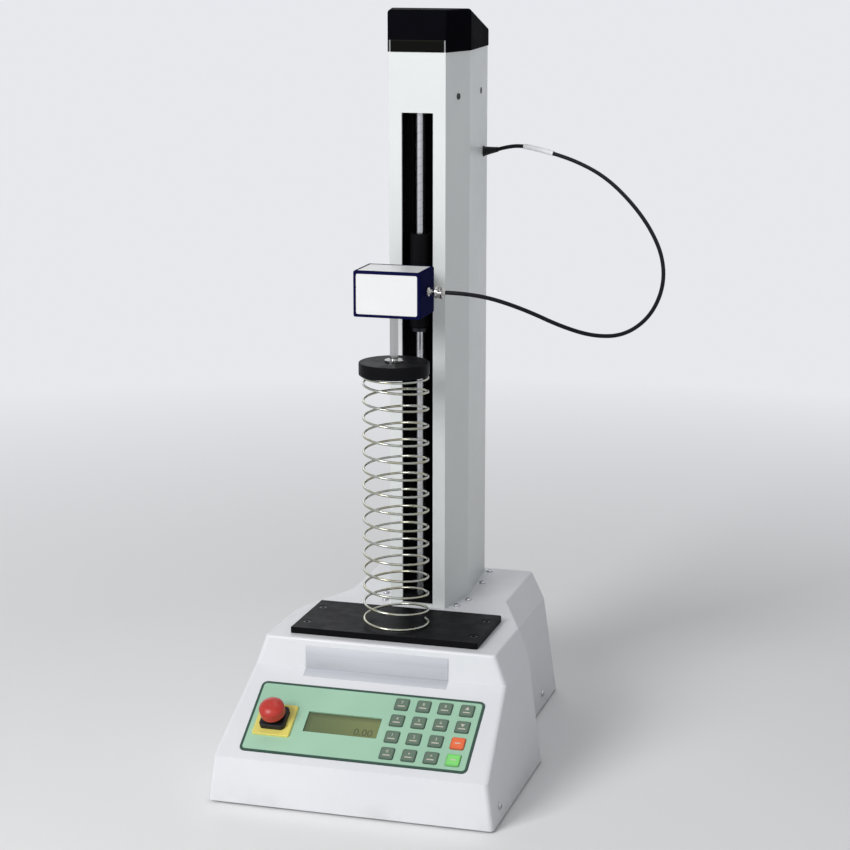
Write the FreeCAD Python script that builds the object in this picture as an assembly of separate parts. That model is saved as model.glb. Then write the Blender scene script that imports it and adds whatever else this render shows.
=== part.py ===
"""Bench-top spring testing machine, in millimetres, +Z up, front towards -Y.

The origin is on the bench, under the middle of the footprint.
"""
import FreeCAD, Part
import math
import os

from FreeCAD import Vector as V

os.makedirs("parts", exist_ok=True)

# Feet and base plate
foot_height = 3.0
foot_radius = 14.0
foot_rim = 1.5
foot_side_inset = 32.6
foot_end_inset = 37.0
rear_foot_inset = 30.0
base_plate_thick = 6.0
plate_side_gap = 0.3

# Moulded casing: a wide console in front and a narrower block under the column
casing_depth = 498.0
casing_wall = 4.0
console_half_bottom = 170.6
console_half_lip = 163.5
console_half_crease = 154.0
console_half_top = 141.0
block_half_bottom = 128.0
block_half_lip = 122.5
block_half_crease = 115.0
block_half_top = 100.5
console_length = 230.0
shoulder_slope = 2.5
lip_height = 54.0
lip_lean = 2.5
panel_run = 117.5
panel_rise = 75.0
fascia_rise = 36.0
rear_lean_lip = 8.0
rear_lean_crease = 20.0
rear_lean_top = 28.0
casing_corner = 6.0
casing_round = 3.0

# Control panel, in the plane of the sloped face
panel_length = 272.0
panel_height = 102.0
panel_centre_up = 62.5
panel_thick = 2.0
panel_recess = 1.2
panel_corner = 7.0
seat_gap = 0.3
key_size = 16.5
key_corner = 2.5
key_gap = 0.4
key_proud = 1.5
key_travel = 1.0
key_flange = 1.1
key_flange_thick = 1.5
key_pitch_along = 26.0
key_pitch_up = 23.5
key_first_along = 39.0
key_first_up = 27.6
key_rows = 4
key_columns = 4
key_clear_edge = 4.0
lcd_length = 89.0
lcd_height = 29.5
lcd_centre_along = -23.5
lcd_centre_up = 61.3
lcd_border = 3.0
lcd_glass_thick = 2.8
lcd_module_thick = 8.0
lcd_module_extra = 2.0
board_thick = 1.6
board_edge = 1.2

# Emergency stop
stop_along = -104.0
stop_up = 57.5
stop_plate_size = 45.0
stop_plate_thick = 3.0
stop_collar_size = 30.5
stop_collar_height = 6.5
stop_neck_radius = 11.0
stop_neck_height = 6.0
stop_barrel_radius = 11.0
stop_barrel_length = 22.0
stop_block_size = 30.0
stop_block_length = 18.0
stop_hole_gap = 0.3
stop_stem_radius = 6.0
stop_stem_length = 34.0
stop_stem_above = 10.0
stop_head_radius = 14.8
stop_head_height = 16.0
stop_head_flat = 1.2
stop_travel = 5.0
turn_fit = 0.05

# Test bed
bed_width = 230.0
bed_depth = 114.0
bed_thick = 7.5
bed_front_margin = 15.5
bed_screw_across = 103.5
bed_screw_spread = 30.0
bed_chamfer = 0.8
screw_head_radius = 4.8
screw_shank_radius = 2.5
screw_head_height = 4.6
screw_socket_radius = 2.4
screw_socket_depth = 2.6
counterbore_radius = 5.4
counterbore_depth = 5.2

# Frame inside the base
deck_thick = 12.0
deck_side_clear = 4.5
deck_rear_clear = 12.0
deck_screw_edge = 10.0
deck_front_edge = 21.5
deck_step = 12.0
deck_waist = 40.0
deck_pillar_radius = 11.0
deck_pillar_inset = 14.0

# Column, a six-sided sheet section
column_half_front = 34.75
column_half_middle = 49.0
column_half_rear = 39.0
column_front = 31.0
column_flare = 56.0
column_rear_margin = 14.0
column_wall = 3.0
column_height = 676.6
slot_half_width = 19.35
slot_foot = 4.0
slot_top_margin = 70.6
ear_height = 14.0
ear_width = 1.8
plug_drop = 52.5
plug_radius = 3.8
plug_share_front = 0.52
plug_share_rear = 0.62

# Column cap
cap_overhang = 1.5
cap_front_height = 49.0
cap_rear_height = 21.5
cap_wall = 5.5
cap_step = 0.9
cap_round = 4.0
cap_lip_depth = 8.0
cap_lip_wall = 2.0

# Drive
screw_setback = 14.0
screw_radius = 6.0
screw_fit = 0.05
rod_side = 24.0
rod_setback = 49.0
rod_radius = 6.0
bush_radius = 9.5
bush_length = 24.0
bush_fit = 0.04
bearing_inset = 1.0
bearing_depth = 85.0
lower_bearing_height = 18.0
upper_bearing_height = 20.0
upper_bearing_drop = 18.0
spine_half_width = 40.0
spine_thick = 6.0
spine_flange_depth = 14.0
spine_flange_thick = 4.0
shroud_inner_half = 21.0
shroud_thick = 1.5
shroud_depth = 25.8
shroud_neck_gap = 2.0
pulley_bottom = 94.0
pulley_height = 14.0
pulley_flange = 1.5
screw_pulley_radius = 24.0
motor_pulley_radius = 16.0
belt_thick = 2.0
belt_gap = 0.3
belt_reach = 105.0
motor_size = 60.0
motor_corner = 5.0
motor_shaft_radius = 4.0

# Crosshead at rest
sleeve_length = 114.0
sleeve_radius = 12.5
nut_radius = 10.0
nut_length = 50.0
nut_flange_thick = 4.0
carriage_half_width = 36.5
carriage_half_depth = 18.0
nut_below_block = 17.0
carriage_below_cell = 33.4
carriage_block_height = 80.0
neck_half_width = 10.0
boss_half_width = 12.5
boss_setback = 1.0
boss_rise = 40.0
boss_height = 30.0
arm_half_width = 15.0
arm_rise = 3.6
arm_front_height = 34.0
arm_rear_height = 38.0

# Load cell and platen
cell_width = 80.6
cell_depth = 59.5
cell_height = 54.1
plunger_show = 55.8
cell_ahead_of_bed = 8.2
cell_round = 2.5
cell_panel_margin = 3.4
cell_panel_thick = 1.5
cell_panel_recess = 1.0
connector_rise = 28.4
connector_length = 21.8
connector_radius = 7.5
plunger_radius = 5.0
plunger_socket = 8.0
platen_radius = 41.5
platen_thick = 15.3
platen_top = 493.6
platen_round = 1.5
collar_radius = 11.0
collar_thick = 2.6
thread_depth = 9.0

# Test spring
spring_mean_radius = 40.0
spring_wire_radius = 1.45
spring_active_turns = 14
spring_end_turns = 1
spring_gap = 0.2

# Load cell cable and its socket on the column
cable_radius = 2.4
socket_share = 0.7333333
socket_drop = 123.6
socket_radius = 13.0
socket_thick = 2.0
relief_reach = 18.3
relief_back = -1.5
relief_rise = 0.5
relief_base_radius = 6.5
relief_tip_radius = 3.4
cable_start_gap = 0.3
marker_radius = 3.2
marker_length = 38.0
cable_route = [
    (62.4, -64.7, 577.8),
    (84.0, -64.0, 577.6),
    (116.0, -58.5, 572.5),
    (154.0, -45.5, 558.0),
    (190.0, -28.0, 538.5),
    (224.0, -8.0, 525.0),
    (256.0, 12.0, 524.0),
    (282.0, 33.0, 543.0),
    (294.0, 53.0, 575.0),
    (289.0, 74.0, 608.0),
    (268.0, 98.0, 640.0),
    (238.0, 121.0, 669.0),
    (203.0, 141.0, 694.0),
    (165.0, 156.0, 711.0),
    (127.0, 166.5, 722.0),
    (96.0, 172.0, 727.5),
    (76.0, 174.6, 726.0),
    (60.0, 175.0, 721.5),
]

# Casing fasteners
button_radius = 4.0
button_height = 2.6
button_offset = 7.5
column_button_shares = (0.3, 0.8, 0.52, 0.96)
side_button_z = 20.0
side_button_front_inset = 35.0
side_button_rear_inset = 79.0

# Mains inlet on the rear face
inlet_height = 26.0
inlet_z = 80.0
inlet_x = -60.0
inlet_flange_width = 58.0
inlet_flange_height = 34.0
inlet_flange_thick = 2.5
inlet_depth = 20.0
inlet_cavity_width = 24.0
inlet_cavity_height = 16.0
inlet_cavity_depth = 15.0
inlet_pin_length = 10.0
inlet_pin_width = 4.0
inlet_pin_thick = 2.0
rocker_along = 17.8
rocker_pin_reach = 1.5
rocker_half_width = 5.5
rocker_half_height = 10.0
rocker_fit = 0.35
rocker_pin_radius = 1.2
rocker_depth = 10.0

front_y = -casing_depth / 2
rear_y = casing_depth / 2
casing_bottom = foot_height
lip_z = casing_bottom + lip_height
crease_z = lip_z + panel_rise
casing_top = crease_z + fascia_rise
crease_y = front_y + lip_lean + panel_run
console_rear = front_y + console_length
foot_side = console_half_bottom - foot_side_inset
foot_front = casing_depth / 2 - foot_end_inset
rear_foot_side = block_half_bottom - rear_foot_inset
side_button_front_y = front_y + side_button_front_inset
side_button_rear_y = rear_y - side_button_rear_inset
bed_centre_y = crease_y + bed_front_margin + bed_depth / 2
bed_bottom = casing_top
bed_top = bed_bottom + bed_thick
base_plate_top = foot_height + base_plate_thick
deck_top = casing_top - casing_wall - seat_gap
deck_bottom = deck_top - deck_thick
deck_half_width = block_half_top - casing_wall - deck_side_clear
deck_front = bed_centre_y - bed_screw_spread - deck_front_edge
deck_rear = rear_y - rear_lean_top - casing_wall - deck_rear_clear
column_middle = column_front + column_flare
column_rear = rear_y - rear_lean_top - column_rear_margin
column_top = casing_top + column_height
slot_bottom = casing_top + slot_foot
slot_top = column_top - slot_top_margin
screw_y = column_front + screw_setback
rod_y = column_front + rod_setback
bearing_rear = column_front + bearing_depth
motor_y = screw_y + belt_reach
platen_bottom = platen_top - platen_thick
cell_bottom = platen_top + plunger_show
cell_top = cell_bottom + cell_height
cell_centre_y = bed_centre_y - cell_ahead_of_bed
cell_front = cell_centre_y - cell_depth / 2
cell_rear = cell_centre_y + cell_depth / 2
connector_z = cell_bottom + connector_rise
carriage_bottom = cell_bottom - carriage_below_cell
carriage_block_bottom = carriage_bottom + nut_below_block
carriage_front = rod_y - carriage_half_depth
carriage_rear = rod_y + carriage_half_depth
boss_front = column_front + boss_setback
boss_bottom = carriage_bottom + boss_rise
arm_bottom = cell_bottom + arm_rise
socket_z = column_top - socket_drop
upper_bearing_top = column_top - upper_bearing_drop
upper_bearing_bottom = upper_bearing_top - upper_bearing_height
lower_bearing_top = deck_top + lower_bearing_height
screw_bottom = pulley_bottom - 6.0
panel_angle = math.degrees(math.atan2(panel_rise, panel_run))


def box(x0, x1, y0, y1, z0, z1):
    return Part.makeBox(x1 - x0, y1 - y0, z1 - z0, V(x0, y0, z0))


def rod(radius, x, y, z0, z1):
    return Part.makeCylinder(radius, z1 - z0, V(x, y, z0))


def polygon_face(points):
    return Part.Face(Part.makePolygon(points + [points[0]]))


def prism(plan, z0, z1):
    """Upright prism on a plan of (x, y) points."""
    face = polygon_face([V(x, y, z0) for x, y in plan])
    return face.extrude(V(0, 0, z1 - z0))


def rounded_slab(width, height, thick, corner):
    """Slab centred in x and y, from z = 0 up, with rounded corners."""
    slab = Part.makeBox(width, height, thick, V(-width / 2, -height / 2, 0))
    upright = [e for e in slab.Edges if abs(e.tangentAt(e.FirstParameter).z) > 0.9]
    return slab.makeFillet(corner, upright)


def on_panel(shape, along, up, out):
    """Places a shape made about z = 0 on the sloped panel face."""
    turn = FreeCAD.Rotation(V(1, 0, 0), panel_angle)
    foot = V(0, front_y + lip_lean, lip_z)
    place = FreeCAD.Placement(foot + turn.multVec(V(along, up, out)), turn)
    placed = shape.copy()
    placed.Placement = place.multiply(shape.Placement)
    return placed


def casing_ring(z, half_console, half_block, front, rear):
    """Plan outline of the casing at one level."""
    shoulder = console_rear + shoulder_slope * (half_console - half_block)
    right = [
        (half_console, front),
        (half_console, console_rear),
        (half_block, shoulder),
        (half_block, rear),
    ]
    left = [(-x, y) for x, y in reversed(right)]
    return [V(x, y, z) for x, y in right + left]


def stacked_solid(rings):
    """Solid through plan outlines, with flat faces between them."""
    faces = [polygon_face(rings[0]), polygon_face(rings[-1])]
    for low, high in zip(rings, rings[1:]):
        for i in range(len(low)):
            j = (i + 1) % len(low)
            faces.append(polygon_face([low[i], low[j], high[j], high[i]]))
    return Part.Solid(Part.makeShell(faces)).removeSplitter()


def casing_rings(inset, bottom, top):
    slope = math.radians(panel_angle)
    drop = inset * (1 - math.sin(slope)) / math.cos(slope)
    lean = [0.0, lip_lean, lip_lean + panel_run, lip_lean + panel_run]
    rear_lean = [0.0, rear_lean_lip, rear_lean_crease, rear_lean_top]
    levels = [bottom, lip_z - drop, crease_z - drop, top]
    halves = [console_half_bottom, console_half_lip, console_half_crease, console_half_top]
    blocks = [block_half_bottom, block_half_lip, block_half_crease, block_half_top]
    rings = []
    for z, a, b, f, r in zip(levels, halves, blocks, lean, rear_lean):
        ring = casing_ring(z, a - inset, b - inset, front_y + f + inset, rear_y - r - inset)
        rings.append(ring)
    return rings


def rounded_wire(points, radius):
    """Closed outline through points, every corner turned by an arc."""
    edges = []
    ends = []
    for i, corner in enumerate(points):
        before = (corner - points[i - 1]).normalize()
        after = (points[(i + 1) % len(points)] - corner).normalize()
        turn = before.getAngle(after)
        cut = radius * math.tan(turn / 2)
        towards = (after - before).normalize()
        middle = corner + towards * radius * (1 / math.cos(turn / 2) - 1)
        ends.append((corner - before * cut, middle, corner + after * cut))
    for i, (start, middle, end) in enumerate(ends):
        edges.append(Part.Arc(start, middle, end).toShape())
        edges.append(Part.LineSegment(end, ends[(i + 1) % len(ends)][0]).toShape())
    return Part.Wire(edges)


def casing_outside():
    wires = [rounded_wire(ring, casing_corner) for ring in casing_rings(0.0, casing_bottom, casing_top)]
    bands = [Part.makeLoft([low, high], True, True) for low, high in zip(wires, wires[1:])]
    body = bands[0].multiFuse(bands[1:]).removeSplitter()
    rim = [e for e in body.Edges if e.BoundBox.ZMin > casing_top - 0.01]
    return body.makeFillet(casing_round, rim)


def column_outline(inset):
    """Six-sided plan of the column, moved in by inset on every side."""
    points = [
        (column_half_front, column_front),
        (column_half_middle, column_middle),
        (column_half_rear, column_rear),
    ]
    plan = points + [(-x, y) for x, y in reversed(points)]
    if inset == 0:
        return plan
    wire = Part.makePolygon([V(x, y, 0) for x, y in plan + [plan[0]]])
    moved = wire.makeOffset2D(-inset, 2)
    ordered = Part.Wire(Part.__sortEdges__(moved.Edges))
    return [(v.X, v.Y) for v in ordered.OrderedVertexes]


def column_prism(inset, z0, z1):
    return prism(column_outline(inset), z0, z1)


def base_casing():
    inner = stacked_solid(casing_rings(casing_wall, casing_bottom, casing_top - casing_wall))
    shell = casing_outside().cut(inner)
    seat = rounded_slab(panel_length + 2 * seat_gap, panel_height + 2 * seat_gap, 20, panel_corner)
    shell = shell.cut(on_panel(seat, 0, panel_centre_up, -panel_recess))
    shell = shell.cut(on_panel(key_window(), 0, 0, 0))
    lcd_hole = rounded_slab(lcd_length + 2 * lcd_border + 1, lcd_height + 2 * lcd_border + 1, 30, 1)
    shell = shell.cut(on_panel(lcd_hole, lcd_centre_along, lcd_centre_up, -15))
    stop_hole = Part.makeCylinder(stop_barrel_radius + stop_hole_gap, 30, V(0, 0, -15))
    shell = shell.cut(on_panel(stop_hole, stop_along, stop_up, 0))
    well = column_prism(column_wall + bearing_inset - 0.7, casing_top - 2 * casing_wall, casing_top + 1)
    shell = shell.cut(well)
    for x, y in bed_screw_places():
        shell = shell.cut(rod(screw_shank_radius + 0.4, x, y, casing_top - 10, casing_top + 1))
    return shell.cut(inlet_cutout())


def key_window():
    """Opening behind the keys, in the panel's own axes."""
    x0, x1, y0, y1 = key_field(key_clear_edge)
    return Part.makeBox(x1 - x0, y1 - y0, 30, V(x0, y0, -15))


def key_field(edge):
    reach = key_size / 2 + edge
    x0 = key_first_along - reach
    x1 = key_first_along + (key_columns - 1) * key_pitch_along + reach
    y0 = key_first_up - reach
    y1 = key_first_up + (key_rows - 1) * key_pitch_up + reach
    return x0, x1, y0, y1


def key_places():
    for row in range(key_rows):
        for column in range(key_columns):
            up = key_first_up + (key_rows - 1 - row) * key_pitch_up
            yield key_first_along + column * key_pitch_along, up


def bed_screw_places():
    for x in (-bed_screw_across, bed_screw_across):
        for y in (bed_centre_y - bed_screw_spread, bed_centre_y + bed_screw_spread):
            yield x, y


def base_plate():
    ring = casing_ring(
        0,
        console_half_bottom - casing_wall - plate_side_gap - 1.0,
        block_half_bottom - casing_wall - plate_side_gap - 1.0,
        front_y + casing_wall + plate_side_gap,
        rear_y - casing_wall - plate_side_gap - 1.5,
    )
    return prism([(p.x, p.y) for p in ring], casing_bottom, base_plate_top)


def rubber_feet():
    feet = []
    for x, y in foot_places():
        foot = rod(foot_radius, x, y, 0, foot_height)
        foot = foot.makeChamfer(foot_rim, [foot.Edges[2]])
        feet.append(foot)
    return Part.makeCompound(feet)


def foot_places():
    for sign in (-1, 1):
        yield sign * foot_side, -foot_front
        yield sign * rear_foot_side, foot_front


def button_head(place, direction):
    """Round-headed socket screw whose head sits on a face at place, looking along direction."""
    head = Part.makeCylinder(button_radius, button_height)
    head = head.makeFillet(button_height * 0.6, [head.Edges[0]])
    socket = Part.makeCylinder(button_radius * 0.4, button_height, V(0, 0, button_height * 0.5))
    head = head.cut(socket)
    head.Placement = FreeCAD.Placement(place, FreeCAD.Rotation(V(0, 0, 1), direction))
    return head


def column_point(share, rear_facet, out):
    """Point on the column's right side, at a share of one facet and moved out from it."""
    a = V(column_half_front, column_front, 0)
    b = V(column_half_middle, column_middle, 0)
    if rear_facet:
        a, b = b, V(column_half_rear, column_rear, 0)
    along = b - a
    normal = V(along.y, -along.x, 0).normalize()
    return a + along * share + normal * out, normal


def side_normal():
    """Outward normal of the casing's right side, below the lip."""
    return V(lip_height, 0, console_half_bottom - console_half_lip).normalize()


def block_normal():
    return V(lip_height, 0, block_half_bottom - block_half_lip).normalize()


def button_screws():
    places = []
    facets = (False, False, True, True)
    for share, rear_facet in zip(column_button_shares, facets):
        point, normal = column_point(share, rear_facet, button_offset)
        places.append((V(point.x, point.y, casing_top), V(0, 0, 1)))
    climb = (side_button_z - casing_bottom) / lip_height
    x = console_half_bottom - climb * (console_half_bottom - console_half_lip)
    places.append((V(x, side_button_front_y, side_button_z), side_normal()))
    x = block_half_bottom - climb * (block_half_bottom - block_half_lip)
    places.append((V(x, side_button_rear_y, side_button_z), block_normal()))
    heads = []
    for place, way in places:
        heads.append(button_head(place, way))
        heads.append(button_head(V(-place.x, place.y, place.z), V(-way.x, way.y, way.z)))
    return Part.makeCompound(heads)


def control_panel():
    plate = rounded_slab(panel_length, panel_height, panel_thick, panel_corner)
    plate.translate(V(0, panel_centre_up, 0))
    for along, up in key_places():
        hole = rounded_slab(key_size + 2 * key_gap, key_size + 2 * key_gap, 10, key_corner)
        hole.translate(V(along, up, -4))
        plate = plate.cut(hole)
    window = rounded_slab(lcd_length, lcd_height, 10, 1.0)
    window.translate(V(lcd_centre_along, lcd_centre_up, -4))
    plate = plate.cut(window)
    barrel = Part.makeCylinder(stop_barrel_radius + stop_hole_gap, 10, V(stop_along, stop_up, -4))
    return on_panel(plate.cut(barrel), 0, 0, -panel_recess)


def key_cap(along, up):
    """Key with a dished top and a flange that keeps it behind the panel."""
    under = -panel_recess - seat_gap
    top = panel_thick - panel_recess + key_proud
    stem = rounded_slab(key_size, key_size, top - under + 0.5, key_corner)
    rim = [e for e in stem.Edges if e.CenterOfMass.z > top - under + 0.4]
    stem = stem.makeChamfer(0.6, rim)
    stem.translate(V(0, 0, under - 0.5))
    flange_size = key_size + 2 * key_gap + 2 * key_flange
    flange = rounded_slab(flange_size, flange_size, key_flange_thick, key_corner)
    flange.translate(V(0, 0, under - key_flange_thick))
    return on_panel(stem.fuse(flange).removeSplitter(), along, up, 0)


def board_top():
    """Depth of the key board's face below the panel face."""
    return -panel_recess - 2 * seat_gap - key_flange_thick - key_travel


def control_board():
    x0, x1, y0, y1 = key_field(key_clear_edge + board_edge)
    wall_inside = -casing_wall - seat_gap
    face = min(board_top(), wall_inside)
    board = Part.makeBox(x1 - x0, y1 - y0, board_thick, V(x0, y0, face - board_thick))
    solids = [board]
    if board_top() - face < 0.05:
        return on_panel(board, 0, 0, 0)
    for along, up in key_places():
        solids.append(Part.makeCylinder(3.0, board_top() - face + 0.1, V(along, up, face - 0.1)))
    return on_panel(board.multiFuse(solids[1:]).removeSplitter(), 0, 0, 0)


def lcd_window():
    glass = rounded_slab(lcd_length + 2 * lcd_border, lcd_height + 2 * lcd_border, lcd_glass_thick, 0.8)
    return on_panel(glass, lcd_centre_along, lcd_centre_up, -panel_recess - lcd_glass_thick)


def lcd_module():
    width = lcd_length + 2 * lcd_border + lcd_module_extra
    height = lcd_height + 2 * lcd_border + lcd_module_extra
    top = -max(casing_wall, panel_recess + lcd_glass_thick) - seat_gap
    block = rounded_slab(width, height, lcd_module_thick, 1.0)
    return on_panel(block, lcd_centre_along, lcd_centre_up, top - lcd_module_thick)


def stop_base():
    return panel_thick - panel_recess


def estop_plate():
    plate = rounded_slab(stop_plate_size, stop_plate_size, stop_plate_thick, 2.5)
    rim = [e for e in plate.Edges if e.CenterOfMass.z > stop_plate_thick - 0.01]
    plate = plate.makeChamfer(0.8, rim)
    plate = plate.cut(Part.makeCylinder(stop_barrel_radius + stop_hole_gap, 20, V(0, 0, -5)))
    return on_panel(plate, stop_along, stop_up, stop_base())


def estop_body():
    foot = stop_base() + stop_plate_thick
    collar = rounded_slab(stop_collar_size, stop_collar_size, stop_collar_height, 5.0)
    rim = [e for e in collar.Edges if e.CenterOfMass.z > stop_collar_height - 0.01]
    collar = collar.makeFillet(1.5, rim)
    collar.translate(V(0, 0, foot))
    neck = Part.makeCylinder(stop_neck_radius, stop_neck_height + 1, V(0, 0, foot + stop_collar_height - 1))
    barrel_foot = V(0, 0, foot + 1 - stop_barrel_length)
    barrel = Part.makeCylinder(stop_barrel_radius, stop_barrel_length, barrel_foot)
    block = rounded_slab(stop_block_size, stop_block_size, stop_block_length, 2.0)
    block.translate(V(0, 0, foot + 2 - stop_barrel_length - stop_block_length))
    body = collar.multiFuse([neck, barrel, block]).removeSplitter()
    bore_foot = stem_bottom() - stop_travel - 1.0
    bore = Part.makeCylinder(stop_stem_radius + turn_fit, 80, V(0, 0, bore_foot))
    return on_panel(body.cut(bore), stop_along, stop_up, 0)


def neck_top():
    return stop_base() + stop_plate_thick + stop_collar_height + stop_neck_height


def stem_bottom():
    return neck_top() + stop_stem_above - stop_stem_length


def head_foot():
    """Depth of the red head's skirt, clear of the collar with the head pressed in."""
    return stop_base() + stop_plate_thick + stop_collar_height + stop_travel + 0.4


def estop_stem():
    stem = Part.makeCylinder(stop_stem_radius, stop_stem_length, V(0, 0, stem_bottom()))
    return on_panel(stem, stop_along, stop_up, 0)


def estop_head():
    foot = head_foot()
    top = foot + stop_head_height
    inner = stop_neck_radius + 0.8
    crown = Part.Arc(
        V(stop_head_radius, 0, top - 6.0),
        V(stop_head_radius * 0.66, 0, top - 1.4),
        V(stop_head_flat, 0, top),
    ).toShape()
    ceiling = neck_top() + stop_travel + 0.5
    bore = stop_stem_radius + turn_fit
    bore_top = neck_top() + stop_stem_above + 0.1
    points = [
        V(0, 0, bore_top),
        V(bore, 0, bore_top),
        V(bore, 0, ceiling),
        V(inner, 0, ceiling),
        V(inner, 0, foot),
        V(stop_head_radius - 0.6, 0, foot),
        V(stop_head_radius, 0, foot + 0.6),
        V(stop_head_radius, 0, top - 6.0),
    ]
    edges = [Part.LineSegment(a, b).toShape() for a, b in zip(points, points[1:])]
    edges.append(crown)
    edges.append(Part.LineSegment(V(stop_head_flat, 0, top), V(0, 0, top)).toShape())
    edges.append(Part.LineSegment(V(0, 0, top), V(0, 0, bore_top)).toShape())
    head = Part.Face(Part.Wire(edges)).revolve(V(0, 0, 0), V(0, 0, 1), 360)
    return on_panel(head, stop_along, stop_up, 0)


def bed_plate():
    plate = box(
        -bed_width / 2,
        bed_width / 2,
        bed_centre_y - bed_depth / 2,
        bed_centre_y + bed_depth / 2,
        bed_bottom,
        bed_top,
    )
    upright = [e for e in plate.Edges if abs(e.tangentAt(0).z) > 0.9]
    plate = plate.makeFillet(2.0, upright)
    rim = [e for e in plate.Edges if e.CenterOfMass.z > bed_top - 0.01]
    plate = plate.makeChamfer(bed_chamfer, rim)
    for x, y in bed_screw_places():
        plate = plate.cut(rod(screw_shank_radius + 0.4, x, y, bed_bottom - 1, bed_top + 1))
        plate = plate.cut(rod(counterbore_radius, x, y, bed_top - counterbore_depth, bed_top + 1))
    return plate


def bed_screws():
    seat = bed_top - counterbore_depth
    solids = []
    for x, y in bed_screw_places():
        head = rod(screw_head_radius, x, y, seat, seat + screw_head_height)
        shank = rod(screw_shank_radius, x, y, deck_bottom + 2, seat + 1)
        socket = rod(screw_socket_radius, x, y, seat + screw_head_height - screw_socket_depth, seat + 20)
        solids.append(head.fuse(shank).cut(socket).removeSplitter())
    return Part.makeCompound(solids)


def deck_plate():
    wide = bed_screw_across + deck_screw_edge
    step_y = bed_centre_y + bed_screw_spread + deck_step
    plan = [
        (-wide, deck_front),
        (wide, deck_front),
        (wide, step_y),
        (deck_half_width, step_y + deck_waist - deck_step),
        (deck_half_width, deck_rear),
        (-deck_half_width, deck_rear),
        (-deck_half_width, step_y + deck_waist - deck_step),
        (-wide, step_y),
    ]
    plate = prism(plan, deck_bottom, deck_top)
    plate = plate.cut(rod(screw_radius + 6.0, 0, screw_y, deck_bottom - 1, deck_top + 1))
    for x, y in bed_screw_places():
        plate = plate.cut(rod(screw_shank_radius, x, y, deck_bottom + 2, deck_top + 1))
    return plate


def deck_pillars():
    rows = (deck_front + deck_pillar_inset, console_rear, deck_rear - deck_pillar_inset)
    narrow = deck_half_width - deck_pillar_inset
    sides = (bed_screw_across + deck_screw_edge - deck_pillar_inset, narrow, narrow)
    posts = []
    for y, side in zip(rows, sides):
        for x in (-side, side):
            posts.append(rod(deck_pillar_radius, x, y, base_plate_top, deck_bottom))
    return Part.makeCompound(posts)


def column_casing():
    shell = column_prism(0, casing_top, column_top)
    shell = shell.cut(column_prism(column_wall, casing_top - 1, column_top + 1))
    half = slot_half_width
    slot = box(-half, half, column_front - 5, column_front + column_wall + 5, slot_bottom, slot_top)
    shell = shell.cut(slot)
    for sign in (-1, 1):
        x0 = sign * (column_half_front - 0.2)
        x1 = sign * (column_half_front - 0.2 - ear_width)
        ear = box(
            min(x0, x1),
            max(x0, x1),
            column_front,
            column_front + column_wall,
            column_top - 1,
            column_top + ear_height,
        )
        shell = shell.fuse(ear)
    for place, normal in plug_places():
        start = place - normal * 2 * column_wall
        hole = Part.makeCylinder(plug_radius * 0.7 + 0.05, 4 * column_wall, start, normal)
        shell = shell.cut(hole)
    return shell


def plug_places():
    z = column_top - plug_drop
    for share, rear_facet in ((plug_share_front, False), (plug_share_rear, True)):
        point, normal = column_point(share, rear_facet, 0)
        yield V(point.x, point.y, z), normal
        yield V(-point.x, point.y, z), V(-normal.x, normal.y, 0)


def column_plugs():
    plugs = []
    for place, normal in plug_places():
        head = Part.makeCylinder(plug_radius, 0.8, place, normal)
        stem = Part.makeCylinder(plug_radius * 0.7, column_wall + 0.8, place - normal * column_wall, normal)
        plugs.append(head.fuse(stem).removeSplitter())
    return Part.makeCompound(plugs)


def column_cap():
    """Cap with a level front half and a rear half that falls away."""
    high = column_top + cap_front_height
    ridge_y = max(column_outline(-cap_overhang))[1]
    side = [
        V(0, column_front - 20, column_top),
        V(0, column_rear + 20, column_top),
        V(0, column_rear + 20, fall_height(column_rear + 20)),
        V(0, ridge_y, high),
        V(0, column_front - 20, high),
    ]
    wedge = polygon_face(side).extrude(V(200, 0, 0))
    wedge.translate(V(-100, 0, 0))
    outer = column_prism(-cap_overhang, column_top, high + 1).common(wedge)
    top_edges = [e for e in outer.Edges if e.CenterOfMass.z > column_top + 1]
    outer = outer.makeFillet(cap_round, top_edges)
    hollow = column_prism(cap_wall - cap_overhang, column_top - 1, high + 1)
    lowered = wedge.copy()
    lowered.translate(V(0, 0, -cap_wall))
    outer = outer.cut(hollow.common(lowered))
    lip = column_prism(column_wall + seat_gap, column_top - cap_lip_depth, column_top + 3)
    lip_inset = column_wall + seat_gap + cap_lip_wall
    lip = lip.cut(column_prism(lip_inset, column_top - 20, column_top + 20))
    cap = outer.fuse(lip)
    step = box(
        -column_half_front,
        column_half_front,
        column_front - 10,
        column_front - cap_overhang + cap_step,
        column_top - 1,
        column_top + ear_height + seat_gap,
    )
    cap = cap.cut(step)
    for sign in (-1, 1):
        x0 = sign * (column_half_front + 0.1)
        x1 = sign * (column_half_front - 0.5 - ear_width)
        notch = box(
            min(x0, x1),
            max(x0, x1),
            column_front - 10,
            column_front + column_wall + seat_gap,
            column_top - 1,
            column_top + ear_height + seat_gap,
        )
        cap = cap.cut(notch)
    return cap.removeSplitter()


def fall_height(y):
    """Height of the cap's sloping rear top at y."""
    share = (y - column_middle) / (column_rear - column_middle)
    return column_top + cap_front_height - share * (cap_front_height - cap_rear_height)


def column_spine():
    z0 = deck_top
    z1 = upper_bearing_top
    web = box(-spine_half_width, spine_half_width, bearing_rear, bearing_rear + spine_thick, z0, z1)
    solids = []
    for sign in (-1, 1):
        x0 = sign * spine_half_width
        x1 = sign * (spine_half_width - spine_flange_thick)
        y1 = bearing_rear + 1
        low = lower_bearing_top + seat_gap
        high = upper_bearing_bottom - seat_gap
        solids.append(box(min(x0, x1), max(x0, x1), y1 - spine_flange_depth, y1, low, high))
    return web.multiFuse(solids).removeSplitter()


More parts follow.
